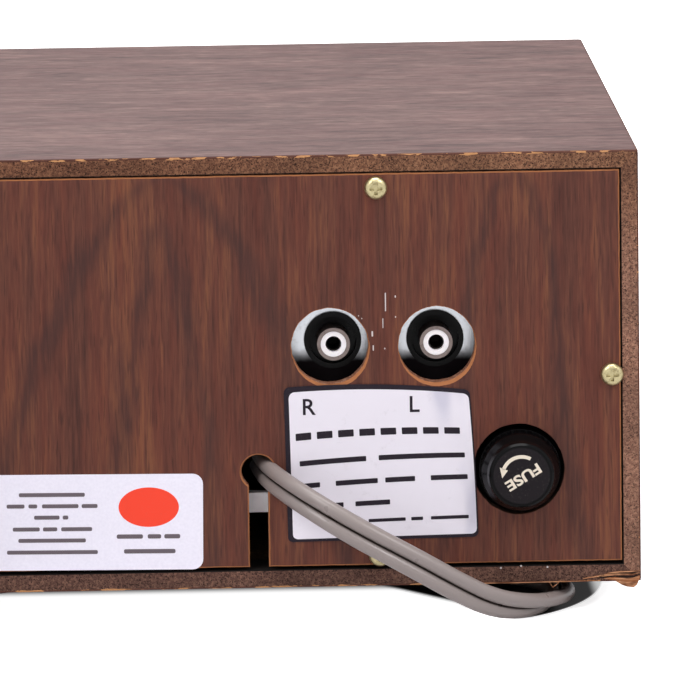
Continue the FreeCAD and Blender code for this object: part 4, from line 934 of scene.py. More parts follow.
def make_panel_face():
    finish, tree, shader = new_finish("back_walnut", Specular_IOR_Level=0.2)
    at = here(tree)
    x, _, z = parts_of(tree, at)
    upright = stretched(tree, at, (1, 1, 1), (0, QUARTER, 0), (0.35, 0.2, 0.13))
    grain = use_group(tree, walnut_grain, Vector=stretched(tree, upright, (1.8, 1.15, 1.15)),
                      Figure=0.4, Pores=0.5, Dark=colour(60, 34, 30), Body=colour(95, 55, 44),
                      Light=colour(127, 79, 54), Warm=colour(107, 50, 37))
    wander = cloud(tree, stretched(tree, at, (50, 50, 24)), 1.0, 4.0)
    swayed = maths(tree, "ADD", x, between(tree, wander, 0.3, 0.7, -ARCH_SWAY, ARCH_SWAY))
    fading = between(tree, grain["Streaks"], 0.2, 0.8, 0.78, 0.34)
    wood = grain["Color"]
    for middle, peak, spread, leg in ARCHES:
        arch = use_group(tree, cathedral, X=swayed, Z=z, Middle=middle, Peak=peak, Spread=spread,
                         Leg=leg)
        wood = blend(tree, maths(tree, "MULTIPLY", arch["Mask"], fading), wood, ARCH_TINT)
    wire(tree, shader, Base_Color=wood,
         Roughness=between(tree, grain["Streaks"], 0.0, 1.0, 0.56, 0.46),
         Normal=bumped(tree, grain["Height"], 0.2, 0.00012))
    print("arches in the back's grain:", len(ARCHES))
    return finish


# %% [markdown]
# The raw rims are pale and red, with the colour of the veneer's broken arris in front. Round the
# fuse they carry painted shade, nearly black, for the deep shadow round the cap. Every rim has one
# finish, and how far a point lies from the fuse's middle tells which ones get the painted shade.

# %% The panel's rims, and the panel in one piece
SHADE_RIM_FROM, SHADE_RIM_TO, RIM_SHADE_STRENGTH = 13 * MM, 12.5 * MM, 0.88


def off_fuse(tree, x, z):
    return distance(tree, maths(tree, "SUBTRACT", x, fuse_x), maths(tree, "SUBTRACT", z, fuse_z))


def make_panel_rim():
    finish, tree, shader = new_finish("back_raw_rim", Roughness=0.85, Specular_IOR_Level=0.2)
    at = here(tree)
    chips = use_group(tree, sawn_chipboard, Vector=at, Dark=colour(76, 42, 32),
                      Body=colour(146, 96, 72), Chip=colour(186, 140, 116), Scale=0.8)
    x, y, z = parts_of(tree, at)
    arris = between(tree, y, rear - 0.5 * MM, rear - 0.3 * MM)
    near_fuse = between(tree, off_fuse(tree, x, z), SHADE_RIM_FROM, SHADE_RIM_TO)
    wood = blend(tree, arris, chips["Color"], colour(168, 108, 70))
    # Painted shade: the rims round the fuse turn nearly black.
    wood = blend(tree, maths(tree, "MULTIPLY", near_fuse, RIM_SHADE_STRENGTH), wood, colour(12, 8, 7))
    wire(tree, shader, Base_Color=wood, Normal=bumped(tree, chips["Height"], 0.5, 0.0002))
    return finish


def weld(work):
    bmesh.ops.remove_doubles(work, verts=work.verts, dist=1e-6)
    bmesh.ops.recalc_face_normals(work, faces=work.faces)


panel_points, panel_faces, panel_slots = build_back_panel()
panel = add_piece("back_panel_cut", panel_points, panel_faces,
                  [make_panel_face(), make_panel_rim()], slots=panel_slots, smooth=False)
rework(panel.data, weld)
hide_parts("back_panel")
print("back panel:", len(panel.data.polygons), "faces")

# %% [markdown]
# ## Plain finishes for the frame's solids
# The jacks, fuse, screws, drive and power supply keep their exact solids and only need a surface.
# One group gives moulded parts their faint mottling and dust, another gives metal its fine
# scratches and dull spots, and each finish adds its own colour and gloss.

# %% Groups for mouldings and metal
def make_moulding():
    tree, takes, gives = new_group("moulded_skin", [
        ("Vector", "Vector", None), ("Colour", "Color", (0.5, 0.5, 0.5, 1)),
        ("Dust", "Float", 0.1), ("Grain", "Float", 2500.0)],
        [("Color", "Color"), ("Height", "Float"), ("Dull", "Float")])
    mottled = cloud(tree, takes["Vector"], 120, 3.0)
    specks = cloud(tree, takes["Vector"], 1500, 2.0, 0.7)
    dusty = maths(tree, "MULTIPLY", between(tree, specks, 0.58, 0.75), takes["Dust"])
    tint = blend(tree, between(tree, mottled, 0.3, 0.7, 0.0, 0.18), takes["Colour"],
                 (0.5, 0.5, 0.5, 1), "OVERLAY")
    feed(tree, gives["Color"], blend(tree, dusty, tint, colour(150, 140, 128)))
    feed(tree, gives["Height"], cloud(tree, takes["Vector"], takes["Grain"], 2.0, 0.5))
    feed(tree, gives["Dull"], mottled)
    return tree


def make_metal_skin():
    tree, takes, gives = new_group("handled_metal", [
        ("Vector", "Vector", None), ("Colour", "Color", (0.6, 0.6, 0.6, 1)),
        ("Stain", "Color", (0.2, 0.15, 0.1, 1)), ("Stained", "Float", 0.2)],
        [("Color", "Color"), ("Height", "Float"), ("Dull", "Float")])
    spots = cloud(tree, takes["Vector"], 700, 4.0, 0.65)
    clouds = cloud(tree, takes["Vector"], 90, 3.0)
    scored = stretched(tree, takes["Vector"], (4200, 260, 260), (0.3, 0.2, 0.7))
    scratches = cloud(tree, scored, 1.0, 2.0)
    stained = maths(tree, "MULTIPLY", between(tree, spots, 0.52, 0.7), takes["Stained"])
    feed(tree, gives["Color"], blend(tree, stained, takes["Colour"], takes["Stain"]))
    feed(tree, gives["Height"], scratches)
    feed(tree, gives["Dull"], maths(tree, "ADD", maths(tree, "MULTIPLY", clouds, 0.6),
                                    maths(tree, "MULTIPLY", scratches, 0.4)))
    return tree


moulded_skin, handled_metal = make_moulding(), make_metal_skin()


def moulding(name, tint, rough=0.4, dust=0.1, grain=2500.0, bump=0.06, **constants):
    finish, tree, shader = new_finish(name, **constants)
    skin = use_group(tree, moulded_skin, Vector=here(tree), Colour=colour(*tint), Dust=dust,
                     Grain=grain)
    wire(tree, shader, Base_Color=skin["Color"],
         Roughness=between(tree, skin["Dull"], 0.3, 0.7, rough - 0.05, rough + 0.07),
         Normal=bumped(tree, skin["Height"], bump, 0.0001))
    return finish


PLAIN_STAIN = (0.12, 0.09, 0.06, 1)


def metal(name, tint, rough=0.3, stain_and_shade=None, stained=0.25, bump=0.05):
    finish, tree, shader = new_finish(name, Metallic=1.0)
    skin = use_group(tree, handled_metal, Vector=here(tree), Colour=colour(*tint),
                     Stain=colour(*stain_and_shade) if stain_and_shade else PLAIN_STAIN, Stained=stained)
    wire(tree, shader, Base_Color=skin["Color"],
         Roughness=between(tree, skin["Dull"], 0.3, 0.7, rough * 0.75, rough * 1.3),
         Normal=bumped(tree, skin["Height"], bump, 0.0001))
    return finish


# %% [markdown]
# The frame names a slot for every solid, and a table turns each slot into a finish: its colour, how
# rough and dusty or stained it is, and how strongly its skin stands out.

# %% The finishes
FINISHES = {
    "softwood": moulding("softwood_block", (188, 150, 108), 0.8, 0.3, 400.0, 0.3),
    "yellow_zinc": metal("yellow_zinc", (196, 184, 142), 0.34, (90, 70, 38), 0.7, 0.15),
    "zinc_plate": metal("bright_plate", (198, 201, 206), 0.2, (120, 116, 116), 0.15, 0.03),
    "bare_steel": metal("bare_steel", (170, 170, 172), 0.34),
    "tinned": metal("dull_tin", (128, 116, 112), 0.42, (70, 58, 50), 0.5, 0.15),
    "brass": metal("brass", (206, 176, 108), 0.3, (96, 70, 36), 0.3),
    "black_phenolic": moulding("black_phenolic", (9, 8, 9), 0.34, 0.02, 2200.0, 0.05,
                               Specular_IOR_Level=0.12),
    "black_plastic": moulding("black_plastic", (14, 13, 14), 0.4, 0.05, Specular_IOR_Level=0.2),
    "white_nylon": moulding("white_nylon", (250, 245, 247), 0.45, 0.08, 1200.0, 0.04,
                            Subsurface_Weight=0.1, Subsurface_Radius=(0.001, 0.0008, 0.0006)),
    "rubber": moulding("foot_rubber", (30, 29, 30), 0.7, 0.35, 1600.0, 0.2),
    "spun_aluminium": metal("spun_aluminium", (206, 204, 200), 0.26, (120, 112, 100), 0.1),
    "cream_plastic": moulding("cream_plastic", (222, 212, 190), 0.32, 0.05),
    "circuit_board": moulding("circuit_board", (132, 96, 52), 0.5, 0.3, 700.0, 0.15),
    "copper_coil": moulding("taped_winding", (170, 130, 66), 0.5, 0.2, 500.0, 0.3),
    "laminations": moulding("varnished_laminations", (44, 42, 44), 0.45, 0.3, 900.0, 0.2),
    "cast_zinc": metal("turned_casting", (150, 150, 153), 0.4, stained=0.1),
    "steel_blue_can": metal("drawn_can", (186, 190, 198), 0.3),
    "foil": metal("silver_foil", (222, 222, 226), 0.3, stained=0.0),
}


def refinish(node, finish):
    solids[node].data.materials.clear()
    solids[node].data.materials.append(finish)


for row in frame["record"]["subparts"]:
    if row["material_slot"] in FINISHES:
        refinish(row["node"], FINISHES[row["material_slot"]])

# %% [markdown]
# ## Brushed front, lens and glass
# The front plate was brushed from side to side, so its scratches are noise stretched along X. The
# lens is smoked amber, and the fuse is a glass tube whose ends are dipped in metal caps: one
# material tells glass from cap by how far a point lies from the tube's middle.

# %% Front plate, lens and fuse glass
FUSE_CAP_LONG = 6 * MM


def make_brushed_front():
    finish, tree, shader = new_finish("brushed_front", Metallic=1.0)
    brush = cloud(tree, stretched(tree, here(tree), (30, 3000, 3000)), 1.0, 3.0)
    smears = cloud(tree, here(tree), 40, 3.0)
    tint = blend(tree, between(tree, brush, 0.3, 0.7), colour(180, 176, 168),
                 colour(206, 203, 196))
    wire(tree, shader, Base_Color=tint, Roughness=between(tree, smears, 0.3, 0.7, 0.28, 0.38),
         Normal=bumped(tree, brush, 0.12, 0.0001))
    return finish


def make_fuse_glass():
    finish, tree, shader = new_finish("fuse_glass", Roughness=0.08, IOR=1.45)
    low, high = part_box("fuse_tube")
    off = maths(tree, "SUBTRACT", parts_of(tree, here(tree))[1], (low.y + high.y) / 2)
    cap = maths(tree, "GREATER_THAN", maths(tree, "ABSOLUTE", off),
                (high.y - low.y) / 2 - FUSE_CAP_LONG)
    wire(tree, shader, Base_Color=blend(tree, cap, (0.9, 0.95, 0.95, 1), colour(200, 198, 190)),
         Metallic=cap, Alpha=maths(tree, "MAXIMUM", cap, 0.35))
    return finish


refinish("front_fascia", make_brushed_front())
refinish("fuse_tube", make_fuse_glass())
refinish("lens_strip", moulding("smoked_lens", (92, 34, 20), 0.16, 0.03, 900.0, 0.02,
                                Coat_Weight=0.4))
print("front plate, fuse glass and lens finished")

# %% [markdown]
# The plate behind the jacks is bright except below, where painted shade turns it nearly black. The
# fuse cap is grey on its flat face and glossy black round it, which again is told by the distance
# from its middle.

# %% Jacks and fuse cap
CAP_FLAT_FROM, CAP_FLAT_TO = 7.3 * MM, 6.9 * MM


def make_jack_plate():
    finish, tree, shader = new_finish("jack_plate", Metallic=1.0)
    at = here(tree)
    wander = between(tree, cloud(tree, at, 160, 3.0), 0.3, 0.7, -0.5 * MM, 0.5 * MM)
    height = maths(tree, "ADD", parts_of(tree, at)[2], wander)
    # Painted shade: below the jacks the plate turns nearly black and rougher.
    above_shade = between(tree, height, jack_z - 5.6 * MM, jack_z - 2.2 * MM, smooth=True)
    skin = use_group(tree, handled_metal, Vector=at, Colour=colour(216, 219, 223),
                     Stain=colour(120, 116, 116), Stained=0.2)
    wire(tree, shader, Base_Color=blend(tree, above_shade, colour(26, 22, 24), skin["Color"]),
         Roughness=between(tree, above_shade, 0.0, 1.0, 0.6, 0.3),
         Normal=bumped(tree, skin["Height"], 0.04, 0.0001))
    return finish


def make_cap_face():
    finish, tree, shader = new_finish("cap_black", Specular_IOR_Level=0.1)
    at = here(tree)
    x, _, z = parts_of(tree, at)
    skin = use_group(tree, moulded_skin, Vector=at, Colour=colour(29, 25, 28), Dust=0.06,
                     Grain=2200.0)
    flat = between(tree, off_fuse(tree, x, z), CAP_FLAT_FROM, CAP_FLAT_TO)
    wire(tree, shader, Base_Color=blend(tree, flat, colour(5, 5, 6), skin["Color"]),
         Roughness=between(tree, flat, 0.0, 1.0, 0.22, 0.42),
         Normal=bumped(tree, skin["Height"], 0.05, 0.0001))
    return finish


refinish("jack_bracket", make_jack_plate())
refinish("fuse_cap", make_cap_face())
refinish("jack_cups", moulding("jack_cup_black", (7, 6, 6), 0.3, 0.01, Specular_IOR_Level=0.12))
# Painted shade: the contacts deep in the jacks are drawn nearly black, not as metal.
refinish("jack_contacts", moulding("jack_contact_painted_shade", (18, 14, 13), 0.5, 0.03,
                                   Specular_IOR_Level=0.15))
print("jacks and fuse cap finished")

# %% [markdown]
# ## The lead, dressed
# Old grey-beige vinyl has a soft shine. The groove between its cores carries painted shade: it is
# found from the outline, stored on the mesh as an attribute, and darkens the colour.

# %% The lead's finish and piece
def make_vinyl():
    finish, tree, shader = new_finish("grey_vinyl", Specular_IOR_Level=0.55)
    skin = use_group(tree, moulded_skin, Vector=here(tree), Colour=colour(143, 132, 129),
                     Dust=0.12, Grain=1800.0)
    groove = tree.nodes.new("ShaderNodeAttribute")
    groove.attribute_name = "groove"
    # Painted shade: the colour darkens deep in the groove between the cores.
    grime_and_shade = between(tree, groove.outputs["Fac"], 0.6, 0.82, smooth=True)
    wire(tree, shader, Base_Color=blend(tree, grime_and_shade, skin["Color"], colour(46, 36, 32)),
         Roughness=between(tree, skin["Dull"], 0.3, 0.7, 0.26, 0.4),
         Normal=bumped(tree, skin["Height"], 0.06, 0.0001))
    return finish


grey_vinyl = make_vinyl()
lead_points, lead_faces, groove_depths = lay_lead(lead_path)
lead = add_piece("two_core_lead", lead_points, lead_faces, [grey_vinyl])
lead.data.attributes.new("groove", "FLOAT", "POINT").data.foreach_set("value", groove_depths)
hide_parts("mains_cord", "cord_coil")
print("lead:", len(lead_points), "points on its skin")

# %% [markdown]
# The plug is moulded on the lead in the same vinyl. Its tail has three ribs that let it bend, and
# then it swells to an oval body. A row of stations gives its width and height along its length, and
# a superellipse, a circle with its sides pushed out, gives each outline.

# %% The plug
TAIL = [(-6.0, 0.31, 0.36), (-5.2, 0.33, 0.4)]
BODY = [(2.4, 0.6, 0.66), (4.5, 0.8, 0.84), (7.5, 0.93, 0.95), (11.5, 0.995, 1.0),
        (18, 0.98, 1.0), (24, 0.96, 0.98)]
RIBS, RIB_STEP, RIBS_FROM, PLUG_STEPS = 3, 1.9, -4.6, 48


def squared(angle, round_wide, round_high):
    """A point of a superellipse: the smaller the powers, the squarer it is."""
    c, s = math.cos(angle), math.sin(angle)
    return (math.copysign(abs(c) ** round_wide, c), math.copysign(abs(s) ** round_high, s))


def plug_stations(length):
    """(place along the plug in millimetres, share of its width, share of its height)"""
    ribs = []
    for rib in range(RIBS):
        at, wide, high = RIBS_FROM + rib * RIB_STEP, 0.05 * rib, 0.06 * rib
        ribs += [(at, 0.36 + wide, 0.44 + high), (at + 0.9, 0.37 + wide, 0.46 + high),
                 (at + 1.0, 0.33 + wide, 0.4 + high), (at + 1.8, 0.34 + wide, 0.41 + high)]
    face = [(length - 1.2, 0.96, 0.98), (length - 0.35, 0.94, 0.95), (length, 0.9, 0.9)]
    return TAIL + ribs + BODY + face


def plug_shell():
    """Oval outlines carried from the tapered tail to the flat face that holds the blades."""
    low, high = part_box("plug_body")
    middle = Vector(((low.x + high.x) / 2, high.y, (low.z + high.z) / 2))
    half_wide, half_tall = (high.x - low.x) / 2, (high.z - low.z) / 2
    rings = []
    for along, wide, tall in plug_stations((high.y - low.y) / MM):
        ring = []
        for n in range(PLUG_STEPS):
            across, up = squared(2 * math.pi * n / PLUG_STEPS, 0.55, 0.6)
            ring.append(middle + Vector((half_wide * wide * across, -along * MM,
                                         half_tall * tall * up)))
        rings.append(ring)
    return joined_rings(rings)


plug = add_piece("moulded_plug", *plug_shell(), [grey_vinyl])
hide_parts("plug_body")
sharp_edges(plug, 40)
print("plug:", len(plug.data.vertices), "points")

# %% [markdown]
# Two thin bands hold the coil's turns together. Each is a rounded rectangle round the coil's
# section, laid flat on the table where it would sink below it.

# %% The coil's ties
TIE_STEPS, TIE_RADIUS, TIE_MIDDLE, TABLE_GAP = 40, 38.05 * MM, 6.2 * MM, 0.05 * MM
TIE_HALF_DEEP, TIE_HALF_TALL, TIE_HALF_WIDE, TIE_THICK = 7.6 * MM, 5.9 * MM, 1.6 * MM, 0.45 * MM


def coil_tie(name, angle):
    """A thin band drawn tight round the coil's section at one angle."""
    way = Vector((math.cos(angle), math.sin(angle), 0))
    aside = Vector((-way.y, way.x, 0)) * TIE_HALF_WIDE
    middle = Vector((COIL_CENTRE[0] * MM, rear + COIL_CENTRE[1] * MM, TIE_MIDDLE))
    rings = []
    for n in range(TIE_STEPS):
        outwards, upwards = squared(2 * math.pi * n / TIE_STEPS, 0.45, 0.5)
        out = way * (TIE_HALF_DEEP * outwards) + Z * (TIE_HALF_TALL * upwards)
        spot = middle + way * TIE_RADIUS + out
        spot.z = max(spot.z, TABLE_GAP)
        inner = spot - out.normalized() * TIE_THICK
        rings.append([spot - aside, spot + aside, inner + aside, inner - aside])
    points, faces = joined_rings(rings, closed=True)
    tie = add_piece(name, points, faces, [FINISHES["black_plastic"]])
    return sharp_edges(tie)


ties = [coil_tie("coil_tie_far", math.radians(128)), coil_tie("coil_tie_near", math.radians(-62))]
print(len(ties), "ties on the coil")

# %% [markdown]
# The lead's real length is 1.8 m, and the length laid along its line is printed beside it.

# %% The lead's length
print("declared 1.8 m of lead, laid %.3f m" % lead_length)

# %% [markdown]
# ## Prints and labels
# Printed things are thin shapes laid just above what they are printed on. Apart from the channel
# letters of the two jacks, the label and the paper sticker carry plain bars where words would be,
# and the sticker has a plain oval. Shapes are outlines in millimetres, across and up as they are
# read, and three directions say which way a print faces.

# %% Flat shapes
BEHIND = (Vector((-1, 0, 0)), Vector((0, 0, 1)), Vector((0, 1, 0)))
BEFORE = (Vector((1, 0, 0)), Vector((0, 0, 1)), Vector((0, -1, 0)))
LIFT = 0.03


def turned(across, up, angle):
    c, s = math.cos(angle), math.sin(angle)
    return across * c - up * s, across * s + up * c


def rounded_box(x, z, wide, high, corner, steps=5):
    points = []
    for cx, cz, start in ((1, 1, 0), (-1, 1, 1), (-1, -1, 2), (1, -1, 3)):
        for n in range(steps + 1):
            turn = (start + n / steps) * QUARTER
            points.append((x + cx * (wide / 2 - corner) + corner * math.cos(turn),
                           z + cz * (high / 2 - corner) + corner * math.sin(turn)))
    return points


def bar(start, end, z, tall, corner):
    return rounded_box((start + end) / 2, z, end - start, tall, corner)


def print_shapes(name, shapes, origin, axes, finish, body="cabinet", lift=LIFT):
    """Closed outlines, across and up from an origin, raised a hair above the surface."""
    across, up, out = axes
    points, faces = [], []
    for shape in shapes:
        start, count = len(points), len(shape)
        for level in (0.0, lift):
            points += [origin + (across * a + up * b + out * level) * MM for a, b in shape]
        faces.append(tuple(range(start + count, start + 2 * count)))
        faces += [(start + n, start + (n + 1) % count, start + count + (n + 1) % count,
                   start + count + n) for n in range(count)]
    piece = add_piece(name, points, faces, [finish], rides_on=body, smooth=False)
    return piece


# %% [markdown]
# Letters start as a text object. Its mesh is measured, scaled to a real height and laid on the
# surface in the same way as the shapes.

# %% Letters
def words(name, text, height, origin, axes, finish, turn=0.0, width=None, body="cabinet",
          lift=LIFT, weight=0.0):
    """Plain letters, turned into a mesh, scaled to a height and centred on the origin."""
    letters = bpy.data.curves.new(name, "FONT")
    letters.body, letters.size, letters.extrude, letters.offset = text, 1.0, 0.01, weight
    letters.resolution_u = 4
    holder = put_in_scene(name, letters)
    mesh = bpy.data.meshes.new_from_object(holder)
    bpy.data.objects.remove(holder)
    xs, ys = [v.co.x for v in mesh.vertices], [v.co.y for v in mesh.vertices]
    scale_y = height / (max(ys) - min(ys))
    scale_x = width / (max(xs) - min(xs)) if width else scale_y
    mid_x, mid_y = (max(xs) + min(xs)) / 2, (max(ys) + min(ys)) / 2
    across, up, out = axes
    for v in mesh.vertices:
        a, b = turned((v.co.x - mid_x) * scale_x, (v.co.y - mid_y) * scale_y, turn)
        v.co = origin + (across * a + up * b + out * (lift if v.co.z > 0 else 0)) * MM
    mesh.materials.clear()
    mesh.materials.append(finish)
    piece = put_in_scene(name, mesh)
    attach(piece, body)
    return piece


# %% [markdown]
# The data label was stuck on by hand: its top edge bows and its right side leans, so every mark on
# it is placed through one function, in millimetres from its middle as it is read. Its foil has a
# dark printed border and a field with a broken sheen.

# %% The data label's shape and foil
LABEL_LEFT = [(-60.82, 19.66), (-60.54, 37.36), (-60.14, 59.2)]
LABEL_RIGHT = [(-108.92, 20.19), (-108.23, 39.29), (-106.98, 57.81)]
LABEL_BOW, LABEL_WIDE, LABEL_HIGH = 1.13, 48.2, 39.6
BEND_STEP = 1.2


def label_side(side, share):
    """A point of the quadratic curve through a side's three points, from its foot to its top."""
    weights = (2 * (share - 0.5) * (share - 1), 4 * share * (1 - share), 2 * share * (share - 0.5))
    return [sum(weight * point[axis] for weight, point in zip(weights, side)) for axis in (0, 1)]


def on_label(across, up):
    u, v = across / LABEL_WIDE + 0.5, up / LABEL_HIGH + 0.5
    (ax, az), (bx, bz) = label_side(LABEL_LEFT, v), label_side(LABEL_RIGHT, v)
    return -(ax + (bx - ax) * u), az + (bz - az) * u + LABEL_BOW * v * 4 * u * (1 - u)


def dense(shape):
    """The same outline with points along its long sides, so that it can bend."""
    full = []
    for (ax, ay), (bx, by) in zip(shape, shape[1:] + shape[:1]):
        count = max(1, round(math.hypot(bx - ax, by - ay) / BEND_STEP))
        full += [(ax + (bx - ax) * n / count, ay + (by - ay) * n / count) for n in range(count)]
    return full


def label_shapes(shapes):
    return [[on_label(a, b) for a, b in dense(shape)] for shape in shapes]


def make_ink(name, tint):
    return moulding(name, tint, 0.45, 0.05, Specular_IOR_Level=0.15)


def make_label_foil():
    finish, tree, shader = new_finish("label_foil", Metallic=0.1, Specular_IOR_Level=0.6)
    at = here(tree)
    sheen = cloud(tree, stretched(tree, at, (70, 70, 30), (0, -0.7, 0)), 1.0, 2.0)
    grime_and_shade = cloud(tree, at, 260, 4.0, 0.7)
    tint = blend(tree, between(tree, sheen, 0.56, 0.72, smooth=True), colour(232, 226, 236),
                 colour(204, 200, 216))
    tint = blend(tree, between(tree, grime_and_shade, 0.6, 0.8, 0.0, 0.3), tint, colour(170, 160, 165))
    wire(tree, shader, Base_Color=tint, Roughness=between(tree, sheen, 0.3, 0.7, 0.42, 0.3))
    return finish


# %% [markdown]
# Its marks are plain bars in five rows, with a long or short run where each word would stand. Only
# R and L are letters, because they tell the two jacks apart.

# %% The data label's marks
MARKS = [
    (8.5, 1.7, [(-21.4 + 5.45 * n, -17.4 + 5.45 * n) for n in range(8)]),
    (2.0, 1.3, [(-20.6, -3.6), (-0.4, 21.6)]),
    (-3.8, 1.3, [(-20.2, -15.6), (-11.6, -0.9), (1.0, 8.6), (12.6, 22.0)]),
    (-9.6, 1.3, [(-12.6, -9.8), (-6.8, 2.0)]),
    (-14.4, 0.9, [(-3.6, 5.8), (7.2, 10.2), (12.2, 21.8)]),
]
SHEET, INK_LIFT, LETTER_HIGH, LETTER_UP = 0.15, 0.06, 4.1, 15.2
label_skin = Vector((0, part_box("data_label")[1].y, 0))
ink = make_ink("navy_ink", (36, 29, 38))
outline = rounded_box(0, 0, LABEL_WIDE, LABEL_HIGH, 1.3)
sheet = print_shapes("label_sheet", label_shapes([outline]),
                     label_skin - Vector((0, SHEET * MM, 0)), BEHIND, ink, lift=SHEET)
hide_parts("data_label")
field = [(a + 0.45, b - 0.15) for a, b in rounded_box(0, 0, 46.6, 37.6, 1.4)]
print_shapes("label_field", label_shapes([field]), label_skin, BEHIND, make_label_foil())
bars = [bar(*run, z, tall, 0.2) for z, tall, runs in MARKS for run in runs]
print_shapes("label_marks", label_shapes(bars), label_skin, BEHIND, ink, lift=INK_LIFT)
for channel, letter_across in (("R", -17.6), ("L", 9.6)):
    a, b = on_label(letter_across, LETTER_UP)
    words("label_letter_" + channel, channel, LETTER_HIGH, label_skin + Vector((-a, 0, b)) * MM,
          BEHIND, ink, weight=0.012, lift=INK_LIFT)
print("label:", len(bars), "bars and two letters")

# %% [markdown]
# The paper sticker was also stuck on a little crooked, so its shapes are turned by half a degree
# and dropped before they are printed. They are measured from its right end as it is read.

# %% The paper sticker
STICKER_TILT, STICKER_DROP = math.radians(-0.64), (-0.75, -0.84)
LINES = [
    (7.1, [(-46.4, -29.8)]),
    (4.2, [(-49.5, -45.0), (-44.0, -41.8), (-40.6, -31.4), (-30.6, -26.6)]),
    (1.3, [(-42.6, -36.2), (-35.4, -34.0)]),
    (-1.7, [(-48.0, -41.2), (-40.4, -36.8), (-35.8, -28.0)]),
    (-4.6, [(-46.6, -29.6)]),
    (-7.6, [(-49.5, -26.6)]),
]
LINES_UNDER_OVAL = [(-3.7, [(-21.8, -15.2), (-14.0, -10.6), (-9.8, -5.8)]), (-7.5, [(-20.0, -7.0)])]
OVAL_X, OVAL_Z, OVAL_HALF_WIDE, OVAL_HALF_TALL, OVAL_STEPS = -13.7, 3.8, 7.6, 5.05, 60


def make_paper():
    finish, tree, shader = new_finish("white_paper", Roughness=0.6, Specular_IOR_Level=0.3)
    fibres = cloud(tree, here(tree), 1400, 3.0)
    tint = blend(tree, between(tree, fibres, 0.3, 0.7), colour(236, 232, 246),
                 colour(243, 239, 252))
    wire(tree, shader, Base_Color=tint, Normal=bumped(tree, fibres, 0.08, 0.0001))
    return finish


def on_sticker(shapes):
    tilted = [[turned(a, b, STICKER_TILT) for a, b in shape] for shape in shapes]
    return [[(a + STICKER_DROP[0], b + STICKER_DROP[1]) for a, b in shape] for shape in tilted]


sticker_low, sticker_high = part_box("blank_sticker")
sticker_edge = Vector((sticker_low.x, rear, (sticker_low.z + sticker_high.z) / 2))
sticker_skin = Vector((sticker_low.x, sticker_high.y, sticker_edge.z))
sticker_wide = (sticker_high.x - sticker_low.x) / MM
paper = rounded_box(-sticker_wide / 2, 0, sticker_wide, 24.5, 2.6)
sticker_sheet = print_shapes("sticker_sheet", on_sticker([paper]), sticker_edge, BEHIND,
                             make_paper(), lift=(sticker_high.y - rear) / MM)
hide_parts("blank_sticker")
lines = [bar(*run, z, 1.0, 0.35) for z, runs in LINES for run in runs]
lines += [bar(*run, z, 1.1, 0.4) for z, runs in LINES_UNDER_OVAL for run in runs]
print_shapes("sticker_lines", on_sticker(lines), sticker_skin, BEHIND,
             make_ink("grey_ink", (106, 96, 102)))
oval_turns = [2 * math.pi * n / OVAL_STEPS for n in range(OVAL_STEPS)]
oval = [(OVAL_X + OVAL_HALF_WIDE * math.cos(turn), OVAL_Z + OVAL_HALF_TALL * math.sin(turn))
        for turn in oval_turns]
print_shapes("sticker_oval", on_sticker([oval]), sticker_skin, BEHIND,
             make_ink("orange_red_ink", (248, 74, 52)))
print("sticker:", len(lines), "lines and an oval")

# %% [markdown]
# ## Scuffs and torn veneer
# A few pale scratches lie on the panel above the label and beside the lower edge. They are short
# upright strokes, printed on the panel like the marks of a label.

# %% Scuffs
SCUFFS = [  # place from left to right, upper end, lower end and width
    (-86.1, 82.9, 78.2, 0.28), (-85.4, 76.4, 73.9, 0.2), (-82.7, 73.2, 71.8, 0.4),
    (-82.9, 69.6, 68.2, 0.3), (-88.6, 82.2, 81.6, 0.3), (-88.6, 76.9, 76.5, 0.3),
    (-85.8, 68.9, 68.5, 0.3), (-79.3, 77.3, 77.0, 0.25), (-80.1, 76.6, 76.3, 0.25),
    (-114.5, 12.25, 11.75, 0.5), (-119.6, 12.65, 12.15, 0.5), (-126.3, 12.25, 11.75, 0.5),
]
rear_skin = Vector((0, rear, 0))
scuffs = [rounded_box(-x, (high + low) / 2, wide, high - low, wide * 0.45, 2)
          for x, high, low, wide in SCUFFS]
print_shapes("pale_scuffs", scuffs, rear_skin, BEHIND, make_ink("pale_scuff", (206, 196, 196)),
             lift=0.02)
print(len(scuffs), "scuffs")

# %% [markdown]
# The lower corner beside the fuse is torn: lifted strands of veneer over a dark split, and a flap
# of raw wood that hangs below the edge. Strands and splits are thin bands that follow a few points
# and narrow towards their ends.

# %% Torn veneer
STRANDS = [
    ([(-139.0, 9.17), (-141.9, 10.15), (-144.6, 10.43), (-147.7, 10.47), (-149.6, 10.6)], 0.3),
    ([(-135.3, 8.88), (-139.6, 9.47), (-143.4, 9.81), (-147.7, 9.68), (-149.7, 10.15)], 0.45),
    ([(-126.7, 8.1), (-127.6, 6.8), (-128.5, 7.45), (-129.6, 8.5)], 0.25),
    ([(-96.0, 8.12), (-108.0, 8.16), (-118.0, 8.1), (-128.0, 8.2), (-139.0, 8.3)], 0.22),
]
SPLITS = [
    ([(-141.1, 10.01), (-143.4, 10.2), (-146.4, 10.12), (-148.7, 10.1)], 0.4),
    ([(-138.8, 8.94), (-143.4, 9.35), (-146.2, 9.04), (-147.9, 9.05), (-149.7, 9.64)], 0.5),
]
FLAP = [(140.4, 8.79), (143.3, 8.19), (145.0, 7.12), (146.2, 6.61), (148.1, 6.32), (149.0, 7.05),
        (149.6, 8.66), (149.7, 9.64), (147.9, 9.05), (146.2, 9.04), (143.4, 9.35)]
FLAP_SUNK, FLAP_THICK, STRAND_LIFT, SPLIT_LIFT = 0.5, 0.6, 0.25, 0.15


